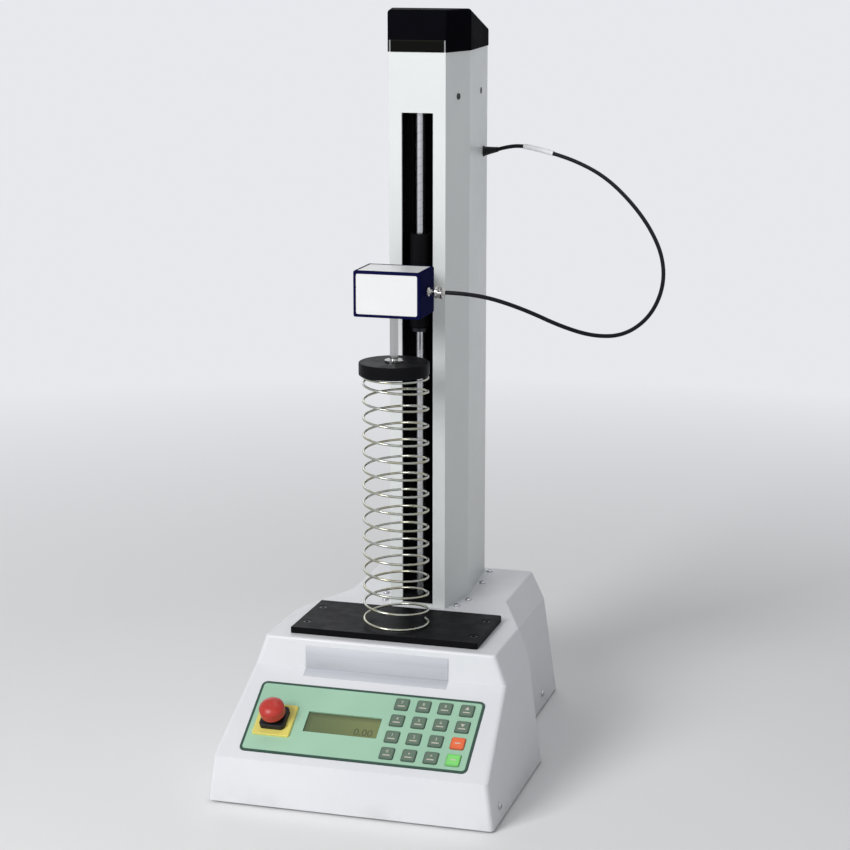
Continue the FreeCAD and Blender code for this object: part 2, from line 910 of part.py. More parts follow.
def bearing_block(z0, z1):
    body = column_prism(column_wall + bearing_inset, z0, z1)
    body = body.common(box(-100, 100, 0, bearing_rear, z0 - 1, z1 + 1))
    body = body.cut(rod(screw_radius + screw_fit, 0, screw_y, z0 - 1, z1 + 1))
    for x in (-rod_side, rod_side):
        body = body.cut(rod(rod_radius, x, rod_y, z0 - 1, z1 + 1))
    return body


def guide_rods():
    rods = []
    for x in (-rod_side, rod_side):
        rods.append(rod(rod_radius, x, rod_y, deck_top, upper_bearing_top))
    return Part.makeCompound(rods)


def screw_shroud():
    """Black folded sheets beside the screw, which close the slot's view but for the carriage's neck."""
    low = lower_bearing_top
    high = upper_bearing_bottom
    y0 = column_front + column_wall
    y1 = y0 + shroud_depth
    sheets = []
    for sign in (-1, 1):
        x0 = sign * shroud_inner_half
        x1 = sign * (shroud_inner_half + shroud_thick)
        x2 = sign * (neck_half_width + shroud_neck_gap)
        side = box(min(x0, x1), max(x0, x1), y0, y1, low, high)
        back = box(min(x2, x1), max(x2, x1), y1 - shroud_thick, y1, low, high)
        sheets.append(side.fuse(back).removeSplitter())
    return Part.makeCompound(sheets)


def lead_screw():
    screw = rod(screw_radius, 0, screw_y, screw_bottom, upper_bearing_top - 2)
    ends = [e for e in screw.Edges if e.Closed]
    return screw.makeChamfer(1.0, ends)


def grooved_pulley(radius, bore, x, y):
    middle = rod(radius, x, y, pulley_bottom, pulley_bottom + pulley_height)
    for z in (pulley_bottom, pulley_bottom + pulley_height - pulley_flange):
        middle = middle.fuse(rod(radius + belt_thick + 1.5, x, y, z, z + pulley_flange))
    middle = middle.removeSplitter()
    if bore > 0:
        middle = middle.cut(rod(bore, x, y, pulley_bottom - 1, pulley_bottom + pulley_height + 1))
    return middle


def motor_pulley():
    pulley = grooved_pulley(motor_pulley_radius, 0, 0, motor_y)
    shaft = rod(motor_shaft_radius, 0, motor_y, base_plate_top + 40, pulley_bottom + 1)
    return pulley.fuse(shaft).removeSplitter()


def belt_loop(extra, z0, z1):
    """Outline round both pulleys as a solid, with straight runs tangent to them."""
    big = screw_pulley_radius + extra
    small = motor_pulley_radius + extra
    reach = motor_y - screw_y
    lean = math.asin((big - small) / reach)
    ends = []
    for sign in (-1, 1):
        side = V(sign * math.cos(lean), math.sin(lean), 0)
        ends.append((V(0, screw_y, 0) + side * big, V(0, motor_y, 0) + side * small))
    plan = [(ends[0][0].x, ends[0][0].y), (ends[1][0].x, ends[1][0].y)]
    plan += [(ends[1][1].x, ends[1][1].y), (ends[0][1].x, ends[0][1].y)]
    loop = prism(plan, z0, z1)
    loop = loop.multiFuse([rod(big, 0, screw_y, z0, z1), rod(small, 0, motor_y, z0, z1)])
    return loop.removeSplitter()


def drive_belt():
    z0 = pulley_bottom + pulley_flange + belt_gap
    z1 = pulley_bottom + pulley_height - pulley_flange - belt_gap
    outer = belt_loop(belt_gap + belt_thick, z0, z1)
    return outer.cut(belt_loop(belt_gap, z0 - 1, z1 + 1))


def drive_motor():
    top = pulley_bottom - 4.0
    body = rounded_slab(motor_size, motor_size, top - base_plate_top - 3, motor_corner)
    body.translate(V(0, motor_y, base_plate_top))
    boss = rod(18, 0, motor_y, top - 4, top - 1)
    bore = rod(motor_shaft_radius + turn_fit, 0, motor_y, base_plate_top + 39, top + 5)
    return body.fuse(boss).cut(bore)


def carriage():
    top = carriage_block_bottom + carriage_block_height
    block = box(
        -carriage_half_width,
        carriage_half_width,
        carriage_front,
        carriage_rear,
        carriage_block_bottom,
        top,
    )
    upright = [e for e in block.Edges if abs(e.tangentAt(0).z) > 0.9]
    block = block.makeFillet(3.0, upright)
    sleeve = rod(sleeve_radius, 0, screw_y, carriage_bottom, carriage_bottom + sleeve_length)
    rims = [e for e in sleeve.Edges if e.Closed]
    sleeve = sleeve.makeChamfer(1.0, rims)
    neck_bottom = carriage_block_bottom + 6
    neck = box(-neck_half_width, neck_half_width, screw_y, carriage_front + 1, neck_bottom, top - 6)
    boss_top = boss_bottom + boss_height
    boss = box(-boss_half_width, boss_half_width, boss_front, screw_y, boss_bottom, boss_top)
    body = block.multiFuse([sleeve, neck, boss]).removeSplitter()
    body = body.cut(rod(nut_radius, 0, screw_y, carriage_bottom - 1, carriage_bottom + sleeve_length + 1))
    for x in (-rod_side, rod_side):
        body = body.cut(rod(bush_radius, x, rod_y, carriage_block_bottom - 1, top + 1))
    return body


def ball_nut():
    nut = rod(nut_radius, 0, screw_y, carriage_bottom, carriage_bottom + nut_length)
    flange = rod(sleeve_radius, 0, screw_y, carriage_bottom - nut_flange_thick, carriage_bottom)
    nut = nut.fuse(flange).removeSplitter()
    low = carriage_bottom - nut_flange_thick - 1
    return nut.cut(rod(screw_radius + screw_fit, 0, screw_y, low, carriage_bottom + nut_length + 1))


def carriage_bushes():
    top = carriage_block_bottom + carriage_block_height
    bushes = []
    for x in (-rod_side, rod_side):
        for z0 in (carriage_block_bottom, top - bush_length):
            bush = rod(bush_radius, x, rod_y, z0, z0 + bush_length)
            bushes.append(bush.cut(rod(rod_radius + bush_fit, x, rod_y, z0 - 1, z0 + bush_length + 1)))
    return Part.makeCompound(bushes)


def load_cell_arm():
    profile = [
        V(0, cell_rear, arm_bottom),
        V(0, boss_front, arm_bottom),
        V(0, boss_front, arm_bottom + arm_rear_height),
        V(0, boss_front - 12, arm_bottom + arm_rear_height),
        V(0, cell_rear + 18, arm_bottom + arm_front_height),
        V(0, cell_rear, arm_bottom + arm_front_height),
    ]
    arm = polygon_face(profile).extrude(V(2 * arm_half_width, 0, 0))
    arm.translate(V(-arm_half_width, 0, 0))
    long_edges = [e for e in arm.Edges if abs(e.tangentAt(0).y) > 0.9]
    return arm.makeChamfer(1.5, long_edges)


def load_cell_body():
    half = cell_width / 2
    body = box(-half, half, cell_front, cell_rear, cell_bottom, cell_top)
    body = body.makeFillet(cell_round, body.Edges)
    body = body.cut(cell_panel_block(0.0, 10.0))
    return body.cut(rod(plunger_radius, 0, cell_centre_y, cell_bottom - 1, cell_bottom + plunger_socket))


def cell_panel_block(gap, proud):
    """Space of the two label plates, let into the front and the top."""
    half = cell_width / 2 - cell_panel_margin - gap
    low = cell_bottom + cell_panel_margin + gap
    high = cell_top - cell_panel_margin - gap
    front_in = cell_front + cell_panel_recess
    top_in = cell_top - cell_panel_recess
    thick = cell_panel_recess + proud
    front = box(-half, half, front_in - thick, front_in, low, high)
    y0 = cell_front + cell_panel_margin + gap
    y1 = cell_rear - cell_panel_margin - gap
    top = box(-half, half, y0, y1, top_in, top_in + thick)
    return Part.makeCompound([front, top])


def load_cell_panels():
    plates = cell_panel_block(seat_gap, cell_panel_thick - 2 * cell_panel_recess)
    rounded = []
    for plate in plates.Solids:
        size = plate.BoundBox
        across = V(0, 1, 0) if size.YLength < size.ZLength else V(0, 0, 1)
        corners = [e for e in plate.Edges if abs(e.tangentAt(0).dot(across)) > 0.9]
        rounded.append(plate.makeFillet(2.0, corners))
    return Part.makeCompound(rounded)


def load_cell_connector():
    """Screwed metal plug on the load cell's right side, turned about the X axis."""
    x0 = cell_width / 2
    r = connector_radius
    steps = [
        (0.0, r - 0.8),
        (2.6, r - 0.8),
        (2.6, r - 2.4),
        (6.0, r - 2.4),
        (6.0, r - 0.3),
        (13.5, r - 0.3),
        (13.5, r - 1.6),
        (17.0, r - 1.6),
        (connector_length, cable_radius + 1.6),
    ]
    points = [V(x0, 0, 0)] + [V(x0 + x, radius, 0) for x, radius in steps]
    points.append(V(x0 + connector_length, 0, 0))
    plug = polygon_face(points).revolve(V(0, 0, 0), V(1, 0, 0), 360)
    plug.translate(V(0, cell_centre_y, connector_z))
    return plug


def plunger():
    """Threaded end in the platen, a flange on top of it, and a shaft up into the load cell."""
    low = platen_top - thread_depth
    shaft = rod(plunger_radius, 0, cell_centre_y, low, cell_bottom + plunger_socket)
    shaft = shaft.makeChamfer(0.8, [e for e in shaft.Edges if e.Closed and e.CenterOfMass.z < low + 1])
    ring = rod(collar_radius, 0, cell_centre_y, platen_top, platen_top + collar_thick)
    ring = ring.makeChamfer(0.5, [e for e in ring.Edges if e.Closed])
    return shaft.fuse(ring).removeSplitter()


def upper_platen():
    disc = rod(platen_radius, 0, cell_centre_y, platen_bottom, platen_top)
    disc = disc.makeFillet(platen_round, [e for e in disc.Edges if e.Closed])
    return disc.cut(rod(plunger_radius, 0, cell_centre_y, platen_top - thread_depth, platen_top + 1))


def spring_height(turn, total_turns, end_rise, active_rise):
    """Centre height of the wire: close-wound end turns and an even pitch between them."""
    if turn <= spring_end_turns:
        return end_rise * turn
    if turn >= total_turns - spring_end_turns:
        last = turn - (total_turns - spring_end_turns)
        return end_rise * (spring_end_turns + last) + active_rise * spring_active_turns
    return end_rise * spring_end_turns + active_rise * (turn - spring_end_turns)


def test_spring():
    low = bed_top + spring_gap + spring_wire_radius
    high = platen_bottom - spring_gap - spring_wire_radius
    total = spring_active_turns + 2 * spring_end_turns
    end_rise = 2 * spring_wire_radius + 0.15
    active_rise = (high - low - 2 * spring_end_turns * end_rise) / spring_active_turns
    steps = 12
    points = []
    for i in range(total * steps + 1):
        turn = i / steps
        angle = 2 * math.pi * turn
        x = spring_mean_radius * math.cos(angle)
        y = -spring_mean_radius * math.sin(angle)
        window = [turn - 0.25, turn - 0.125, turn, turn + 0.125, turn + 0.25]
        near = [min(max(t, 0.0), float(total)) for t in window]
        heights = [spring_height(t, total, end_rise, active_rise) for t in near]
        points.append(V(x, y + cell_centre_y, low + sum(heights) / len(heights)))
    line = Part.BSplineCurve()
    line.interpolate(points)
    path = Part.Wire(line.toShape())
    start = points[0]
    way = line.tangent(line.FirstParameter)[0]
    ring = Part.Wire(Part.Circle(start, way, spring_wire_radius).toShape())
    return path.makePipeShell([ring], True, True)


def smooth_path(points):
    """Straight runs joined by tangent arcs, with the arc radii printed."""
    edges = []
    start = points[0]
    length = 0.0
    for i in range(1, len(points) - 1):
        before = (points[i] - points[i - 1]).normalize()
        after = (points[i + 1] - points[i]).normalize()
        turn = before.getAngle(after)
        run = min((points[i] - points[i - 1]).Length, (points[i + 1] - points[i]).Length)
        cut = 0.45 * run
        radius = cut / math.tan(turn / 2)
        a = points[i] - before * cut
        b = points[i] + after * cut
        towards = (after - before).normalize()
        sag = radius * (1 / math.cos(turn / 2) - 1)
        middle = points[i] + towards * sag
        edges.append(Part.LineSegment(start, a).toShape())
        edges.append(Part.Arc(a, middle, b).toShape())
        length += (a - start).Length + radius * turn
        start = b
        print("bend radius", round(radius, 1), "turn", round(math.degrees(turn), 1))
    edges.append(Part.LineSegment(start, points[-1]).toShape())
    length += (points[-1] - start).Length
    return Part.Wire(edges), length


def cable_points():
    """Route of the cable, moved along with its plug and with its socket."""
    first = V(cell_width / 2 + connector_length + cable_start_gap, cell_centre_y, connector_z)
    foot, normal = column_point(socket_share, True, 0)
    foot.z = socket_z
    last = foot + normal * relief_reach + V(0, relief_back, relief_rise)
    first_shift = first - V(*cable_route[0])
    last_shift = last - V(*cable_route[-1])
    points = []
    for i, place in enumerate(cable_route):
        share = i / (len(cable_route) - 1)
        points.append(V(*place) + first_shift * (1 - share) + last_shift * share)
    return points


def cable_ring(radius):
    points = cable_points()
    return Part.Wire(Part.Circle(points[0], points[1] - points[0], radius).toShape())


def load_cell_cable():
    path, length = smooth_path(cable_points())
    tube = path.makePipeShell([cable_ring(cable_radius)], True, False)
    print("cable length", round(length, 1))
    return tube


def cable_marker():
    """White sleeve on the cable's upper run, wrapped round the cable's own path."""
    points = cable_points()
    a = points[-3]
    b = points[-4]
    way = (b - a).normalize()
    foot = a + way * ((b - a).Length - marker_length) * 0.5
    path, length = smooth_path(points)
    thick = path.makePipeShell([cable_ring(marker_radius)], True, False)
    thin = path.makePipeShell([cable_ring(cable_radius)], True, False)
    return Part.makeCylinder(4 * marker_radius, marker_length, foot, way).common(thick).cut(thin)


def cable_socket():
    """Round flange on the column with a tapered strain relief that the cable goes into."""
    foot, normal = column_point(socket_share, True, 0)
    foot.z = socket_z
    points = cable_points()
    tip = points[-1]
    flange = Part.makeCylinder(socket_radius, socket_thick, foot, normal)
    base = foot + normal * (socket_thick * 0.5)
    relief = Part.makeCone(relief_base_radius, relief_tip_radius, (tip - base).Length, base, tip - base)
    beyond = Part.makeCylinder(3 * socket_radius, 3 * socket_radius, tip, points[-2] - tip)
    return flange.fuse(relief).cut(beyond).removeSplitter()


def inlet_face_y():
    """Rear face of the casing at the inlet's height, where its flange seats."""
    share = (inlet_z - lip_z) / panel_rise
    lean = rear_lean_lip + share * (rear_lean_crease - rear_lean_lip)
    return rear_y - lean


def on_rear(shape):
    """Places a shape made with +Z outwards on the casing's leaning rear face."""
    lean = math.degrees(math.atan2(rear_lean_crease - rear_lean_lip, panel_rise))
    turn = FreeCAD.Rotation(V(1, 0, 0), -90 + lean)
    flip = FreeCAD.Rotation(V(0, 0, 1), 180)
    place = FreeCAD.Placement(V(inlet_x, inlet_face_y(), inlet_z), turn.multiply(flip))
    placed = shape.copy()
    placed.Placement = place.multiply(shape.Placement)
    return placed


def inlet_cutout():
    width = inlet_flange_width - 6
    hole = rounded_slab(width + 0.6, inlet_height + 0.6, 40, 1.0)
    hole.translate(V(0, 0, -20))
    return on_rear(hole)


def mains_inlet():
    flange = rounded_slab(inlet_flange_width, inlet_flange_height, inlet_flange_thick, 3.0)
    body = rounded_slab(inlet_flange_width - 6, inlet_height, inlet_depth, 1.0)
    body.translate(V(0, 0, -inlet_depth + 0.5))
    unit = flange.fuse(body)
    shift = -rocker_along / 2
    cavity = rounded_slab(inlet_cavity_width, inlet_cavity_height, 30, 2.0)
    cavity.translate(V(shift, 0, inlet_flange_thick - inlet_cavity_depth))
    unit = unit.cut(cavity)
    floor = inlet_flange_thick - inlet_cavity_depth
    for x, y in ((-7, -2), (7, -2), (0, 3)):
        pin = Part.makeBox(inlet_pin_thick, inlet_pin_width, inlet_pin_length + 1)
        pin.translate(V(shift + x - inlet_pin_thick / 2, y - inlet_pin_width / 2, floor - 1))
        unit = unit.fuse(pin)
    window_w = 2 * (rocker_half_width + rocker_fit)
    window_h = 2 * (rocker_half_height + rocker_fit)
    well_corner = V(rocker_along - window_w / 2, -window_h / 2, -rocker_depth - 1)
    well = Part.makeBox(window_w, window_h, 40, well_corner)
    unit = unit.cut(well)
    pin_hole = rocker_pin(rocker_pin_radius + turn_fit, rocker_pin_reach + 0.5)
    return on_rear(unit.cut(pin_hole).removeSplitter())


def rocker_pin(radius, reach):
    half = rocker_half_width + reach
    return Part.makeCylinder(radius, 2 * half, V(rocker_along - half, 0, 0), V(1, 0, 0))


def power_rocker():
    """Rocker with a shallow V-shaped face, on a pin across the inlet's well."""
    profile = [
        V(0, -rocker_half_height + 0.4, -3.0),
        V(0, 0, -7.5),
        V(0, rocker_half_height - 0.4, -3.0),
        V(0, rocker_half_height - 0.6, 2.6),
        V(0, 0, 1.4),
        V(0, -rocker_half_height + 0.6, 4.2),
    ]
    body = polygon_face(profile).extrude(V(2 * rocker_half_width, 0, 0))
    body.translate(V(rocker_along - rocker_half_width, 0, 0))
    pin = rocker_pin(rocker_pin_radius, rocker_pin_reach)
    return on_rear(body.fuse(pin).removeSplitter())


def all_nodes():
    nodes = {
        "base_casing": base_casing,
        "base_plate": base_plate,
        "rubber_feet": rubber_feet,
        "button_screws": button_screws,
        "control_panel": control_panel,
        "control_board": control_board,
        "lcd_window": lcd_window,
        "lcd_module": lcd_module,
        "estop_plate": estop_plate,
        "estop_body": estop_body,
        "estop_stem": estop_stem,
        "estop_head": estop_head,
        "bed_plate": bed_plate,
        "bed_screws": bed_screws,
        "deck_plate": deck_plate,
        "deck_pillars": deck_pillars,
        "column_casing": column_casing,
        "column_plugs": column_plugs,
        "column_cap": column_cap,
        "column_spine": column_spine,
        "guide_rods": guide_rods,
        "screw_shroud": screw_shroud,
        "lead_screw": lead_screw,
        "motor_pulley": motor_pulley,
        "drive_belt": drive_belt,
        "drive_motor": drive_motor,
        "carriage": carriage,
        "ball_nut": ball_nut,
        "carriage_bushes": carriage_bushes,
        "load_cell_arm": load_cell_arm,
        "load_cell_body": load_cell_body,
        "load_cell_panels": load_cell_panels,
        "load_cell_connector": load_cell_connector,
        "plunger": plunger,
        "upper_platen": upper_platen,
        "test_spring": test_spring,
        "load_cell_cable": load_cell_cable,
        "cable_marker": cable_marker,
        "cable_socket": cable_socket,
        "mains_inlet": mains_inlet,
        "power_rocker": power_rocker,
    }
    made = {name: make() for name, make in nodes.items()}
    made["lower_bearing_block"] = bearing_block(deck_top, lower_bearing_top)
    made["upper_bearing_block"] = bearing_block(upper_bearing_bottom, upper_bearing_top)
    made["screw_pulley"] = grooved_pulley(screw_pulley_radius, screw_radius, 0, screw_y)
    for number, (along, up) in enumerate(key_places(), 1):
        made[f"key_{number:02d}"] = key_cap(along, up)
    return made


for node_name, node_shape in all_nodes().items():
    node_shape.exportStep(f"parts/{node_name}.step")
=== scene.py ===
import bpy
import math
from mathutils import Matrix, Vector


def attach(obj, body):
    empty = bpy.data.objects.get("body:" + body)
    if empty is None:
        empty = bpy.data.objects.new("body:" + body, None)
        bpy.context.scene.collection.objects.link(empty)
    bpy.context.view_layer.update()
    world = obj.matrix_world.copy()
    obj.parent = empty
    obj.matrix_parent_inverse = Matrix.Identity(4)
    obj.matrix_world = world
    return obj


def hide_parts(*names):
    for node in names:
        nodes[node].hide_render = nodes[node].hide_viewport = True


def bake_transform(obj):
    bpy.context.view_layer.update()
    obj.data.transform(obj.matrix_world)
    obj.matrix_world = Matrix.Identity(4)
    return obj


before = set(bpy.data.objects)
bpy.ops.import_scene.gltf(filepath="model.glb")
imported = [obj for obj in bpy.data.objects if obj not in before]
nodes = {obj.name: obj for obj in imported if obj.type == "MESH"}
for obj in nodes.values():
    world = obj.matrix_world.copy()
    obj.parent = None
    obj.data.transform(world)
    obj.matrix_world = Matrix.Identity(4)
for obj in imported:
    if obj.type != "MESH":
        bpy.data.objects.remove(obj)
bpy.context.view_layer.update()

scene = bpy.context.scene
scene.view_settings.view_transform = "Standard"
print("frame loaded")


# camera at the photograph's place
cameraSet = {
    "place": (0.7582, -2.5291, 0.9943),
    "azimuth": 16.3,
    "elevation": 12.6,
    "lens": 95.46,
    "sensor": 36,
    "reach": 30,
}


def makeCamera(c):
    bpy.ops.object.camera_add(location=c["place"])
    camera = bpy.context.object
    camera.name = "camera"
    camera.rotation_euler = (math.radians(90 - c["elevation"]), 0, math.radians(c["azimuth"]))
    camera.data.sensor_width = c["sensor"]
    camera.data.lens = c["lens"]
    camera.data.clip_end = c["reach"]
    scene.camera = camera


makeCamera(cameraSet)


def clearPick():
    if bpy.context.object and bpy.context.object.mode != "OBJECT":
        bpy.ops.object.mode_set(mode="OBJECT")
    bpy.ops.object.select_all(action="DESELECT")


def pickOnly(piece):
    clearPick()
    piece.select_set(True)
    bpy.context.view_layer.objects.active = piece


def settle(piece):
    # puts the place into the mesh and leaves the object at the origin
    pickOnly(piece)
    bpy.ops.object.transform_apply(location=True, rotation=True, scale=True)


def applyAll(piece):
    pickOnly(piece)
    for modifier in list(piece.modifiers):
        bpy.ops.object.modifier_apply(modifier=modifier.name)


# an edge that turns by more degrees than these is rounded off, and shaded as an edge
sharpAngle = {"turned": 35, "tube": 50, "slab": 40}


def softenEdges(piece, width, angle):
    edge = piece.modifiers.new("softEdge", "BEVEL")
    edge.width, edge.segments, edge.limit_method = width, 2, "ANGLE"
    edge.angle_limit = math.radians(angle)
    applyAll(piece)


def smoothShade(piece, angle):
    pickOnly(piece)
    bpy.ops.object.shade_smooth_by_angle(angle=math.radians(angle))


def turnedPiece(name, rings, foot, way, soft, segments=40):
    # a disc pulled up ring by ring, each ring a height and a radius, then laid along its axis
    clearPick()
    bpy.ops.mesh.primitive_circle_add(vertices=segments, radius=rings[0][1], fill_type="NGON")
    piece = bpy.context.object
    piece.name = name
    bpy.ops.object.mode_set(mode="EDIT")
    bpy.ops.mesh.select_all(action="SELECT")
    for (low, before), (high, after) in zip(rings, rings[1:]):
        bpy.ops.mesh.extrude_region_move(TRANSFORM_OT_translate={"value": (0, 0, high - low)})
        bpy.ops.transform.resize(value=(after / before, after / before, 1), center_override=(0, 0, high))
    bpy.ops.mesh.select_all(action="SELECT")
    bpy.ops.mesh.normals_make_consistent(inside=False)
    bpy.ops.object.mode_set(mode="OBJECT")
    softenEdges(piece, soft, sharpAngle["turned"])
    turn = Vector((0, 0, 1)).rotation_difference(Vector(way)).to_matrix().to_4x4()
    piece.data.transform(Matrix.Translation(foot) @ turn)
    smoothShade(piece, sharpAngle["turned"])
    return piece


# the plug on the load cell: a neck, a bayonet ring and a clamp on the cable
plug = {
    "foot": (0.0403, -0.0647, 0.5778),
    "way": (1, 0, 0),
    "rings": [
        (0.0000, 0.0052), (0.0022, 0.0052), (0.0023, 0.0032), (0.0096, 0.0032), (0.0097, 0.0064),
        (0.0103, 0.0072), (0.0122, 0.0072), (0.0125, 0.0064), (0.0135, 0.0064), (0.0138, 0.0072),
        (0.0186, 0.0072), (0.0192, 0.0060), (0.0193, 0.0046), (0.0221, 0.0035),
    ],
    "soft": 0.00012,
    "teethMiddle": 0.0565,
    "teethHalf": 0.001,
    "teethEvery": 9.0,
    "teethInset": 0.0001,
    "teethDepth": -0.00035,
    "ringEdge": (0.0023, 0.0027),
    "teethFloor": (0.00690, 0.00712),
}


def makePlug(c):
    piece = turnedPiece("cablePlug", c["rings"], c["foot"], c["way"], c["soft"])
    for face in piece.data.polygons:
        place = face.center
        around = math.degrees(math.atan2(place.y - c["foot"][1], place.z - c["foot"][2]))
        inBand = abs(place.x - c["teethMiddle"]) < c["teethHalf"]
        face.select = inBand and int(round(around / c["teethEvery"])) % 2 == 0
    bpy.ops.object.mode_set(mode="EDIT")
    bpy.ops.mesh.inset(thickness=c["teethInset"], depth=c["teethDepth"], use_individual=True)
    bpy.ops.object.mode_set(mode="OBJECT")
    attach(piece, "crosshead")
    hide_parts("load_cell_connector")
    return piece


plugPiece = makePlug(plug)

# the cable's socket on the column: a low flange and a ribbed, tapered boot
boot = {
    "foot": (0.04117, 0.1810, 0.7160),
    "out": (0.99655, 0.08305, 0.0),
    "tip": (0.0608, 0.1750, 0.7192),
    "flange": [(-0.0003, 0.0066), (0.0012, 0.0066), (0.0018, 0.0060)],
    "base": 0.0058,
    "end": 0.0033,
    "sink": 0.001,
    "ribs": 5,
    "ribSteps": (0.62, 0.70, 0.92),
    "lip": 0.0003,
    "groove": 0.0007,
    "tail": 0.6,
    "soft": 0.00015,
}


def makeBoot(c):
    foot, out, tip = Vector(c["foot"]), Vector(c["out"]), Vector(c["tip"])
    flange = turnedPiece("bootFlange", c["flange"], foot, out, c["soft"])
    start = foot + out * c["sink"]
    reach = (tip - start).length
    step = reach / (c["ribs"] + c["tail"])
    ribEnd, grooveStart, grooveEnd = c["ribSteps"]
    rings = [(0.0, c["base"])]
    for i in range(c["ribs"]):
        wide = c["base"] + (c["end"] - c["base"]) * (i + 1) / c["ribs"]
        rings.append((step * (i + ribEnd), wide + c["lip"]))
        rings.append((step * (i + grooveStart), wide - c["groove"]))
        rings.append((step * (i + grooveEnd), wide - c["groove"]))
        rings.append((step * (i + 1.0), wide))
    rings.append((reach, c["end"]))
    piece = turnedPiece("cableBoot", rings, start, tip - start, c["soft"])
    clearPick()
    flange.select_set(True)
    piece.select_set(True)
    bpy.context.view_layer.objects.active = piece
    bpy.ops.object.join()
    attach(piece, "base")
    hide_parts("cable_socket")
    return piece


bootPiece = makeBoot(boot)


# the cable from the plug on the load cell to the boot on the column
# it sways from the column's side to the load cell's, and its sleeve is measured back from the boot
cable = {
    "radius": 0.0024,
    "route": [
        (0.0624, -0.0647, 0.5778),
        (0.0840, -0.0640, 0.5776),
        (0.1160, -0.0585, 0.5725),
        (0.1540, -0.0455, 0.5580),
        (0.1900, -0.0280, 0.5385),
        (0.2240, -0.0080, 0.5250),
        (0.2560, 0.0120, 0.5240),
        (0.2820, 0.0330, 0.5430),
        (0.2940, 0.0530, 0.5750),
        (0.2890, 0.0740, 0.6080),
        (0.2680, 0.0980, 0.6400),
        (0.2380, 0.1210, 0.6690),
        (0.2030, 0.1410, 0.6940),
        (0.1650, 0.1560, 0.7095),
        (0.1270, 0.1665, 0.7190),
        (0.0960, 0.1720, 0.7248),
        (0.0760, 0.1746, 0.7237),
        (0.0600, 0.1750, 0.7190),
    ],
    "swayStart": (0.0, 0.155, 0.6),
    "swayEnd": (0.0, -0.055, 0.6),
    "markerFrom": 0.0346,
    "markerTo": 0.0770,
    "markerRadius": 0.0032,
}


def makeCurve(name, kind, places):
    # a curve with no thickness through a list of places
    data = bpy.data.curves.new(name, "CURVE")
    data.dimensions = "3D"
    spline = data.splines.new(kind)
    spline.points.add(len(places) - 1)
    for point, place in zip(spline.points, places):
        point.co = (*place, 1)
    piece = bpy.data.objects.new(name, data)
    scene.collection.objects.link(piece)
    return piece


def centreLine(route, order=3, steps=12):
    # close points along one smooth spline
    bare = makeCurve("bareRoute", "NURBS", route)
    spline = bare.data.splines[0]
    spline.order_u, spline.use_endpoint_u, spline.resolution_u = order, True, steps
    bpy.context.view_layer.update()
    mesh = bpy.data.meshes.new_from_object(bare)
    line = [v.co.copy() for v in mesh.vertices]
    bpy.data.objects.remove(bare)
    bpy.data.meshes.remove(mesh)
    return line


def makeTube(name, line, radius, roundness=5, weld=0.00001):
    # a closed tube along points that lie close together
    piece = makeCurve(name, "POLY", line)
    piece.data.bevel_depth = radius
    piece.data.bevel_resolution = roundness
    piece.data.use_fill_caps = True
    pickOnly(piece)
    bpy.ops.object.convert(target="MESH")
    piece = bpy.context.object
    bpy.ops.object.mode_set(mode="EDIT")
    bpy.ops.mesh.select_all(action="SELECT")
    bpy.ops.mesh.remove_doubles(threshold=weld)
    bpy.ops.mesh.normals_make_consistent(inside=False)
    bpy.ops.object.mode_set(mode="OBJECT")
    smoothShade(piece, sharpAngle["tube"])
    return piece


def makeCable(c):
    line = centreLine(c["route"])
    piece = makeTube("loadCellCable", line, c["radius"])
    backLine = list(reversed(line))
    part, walked = [], 0.0
    for a, b in zip(backLine, backLine[1:]):
        walked += (b - a).length
        if c["markerFrom"] <= walked <= c["markerTo"]:
            part.append(b)
    sleeve = makeTube("cableSleeve", part, c["markerRadius"])
    for p in (piece, sleeve):
        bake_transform(p)
    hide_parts("load_cell_cable")
    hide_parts("cable_marker")
    return piece, sleeve


cablePiece, sleevePiece = makeCable(cable)
print("cable made")


# a socket of a material, with sums written as plain arithmetic
class Sock:
    def __init__(self, look, out):
        self.look, self.out = look, out

    def maths(self, operation, other=0.0):
        return self.look.add("ShaderNodeMath", {"operation": operation}, {0: self, 1: other})

    def __add__(self, other):
        return self.maths("ADD", other)

    def __sub__(self, other):
        return self.maths("SUBTRACT", other)

    def __mul__(self, other):
        return self.maths("MULTIPLY", other)

    def __truediv__(self, other):
        return self.maths("DIVIDE", other)

    def size(self):
        return self.maths("ABSOLUTE")

    def larger(self, other):
        return self.maths("MAXIMUM", other)

    def smaller(self, other):
        return self.maths("MINIMUM", other)


# where the colour mixing node keeps its factor, its two colours and its result
mixPlace = {"share": 0, "first": 6, "second": 7, "result": 2}


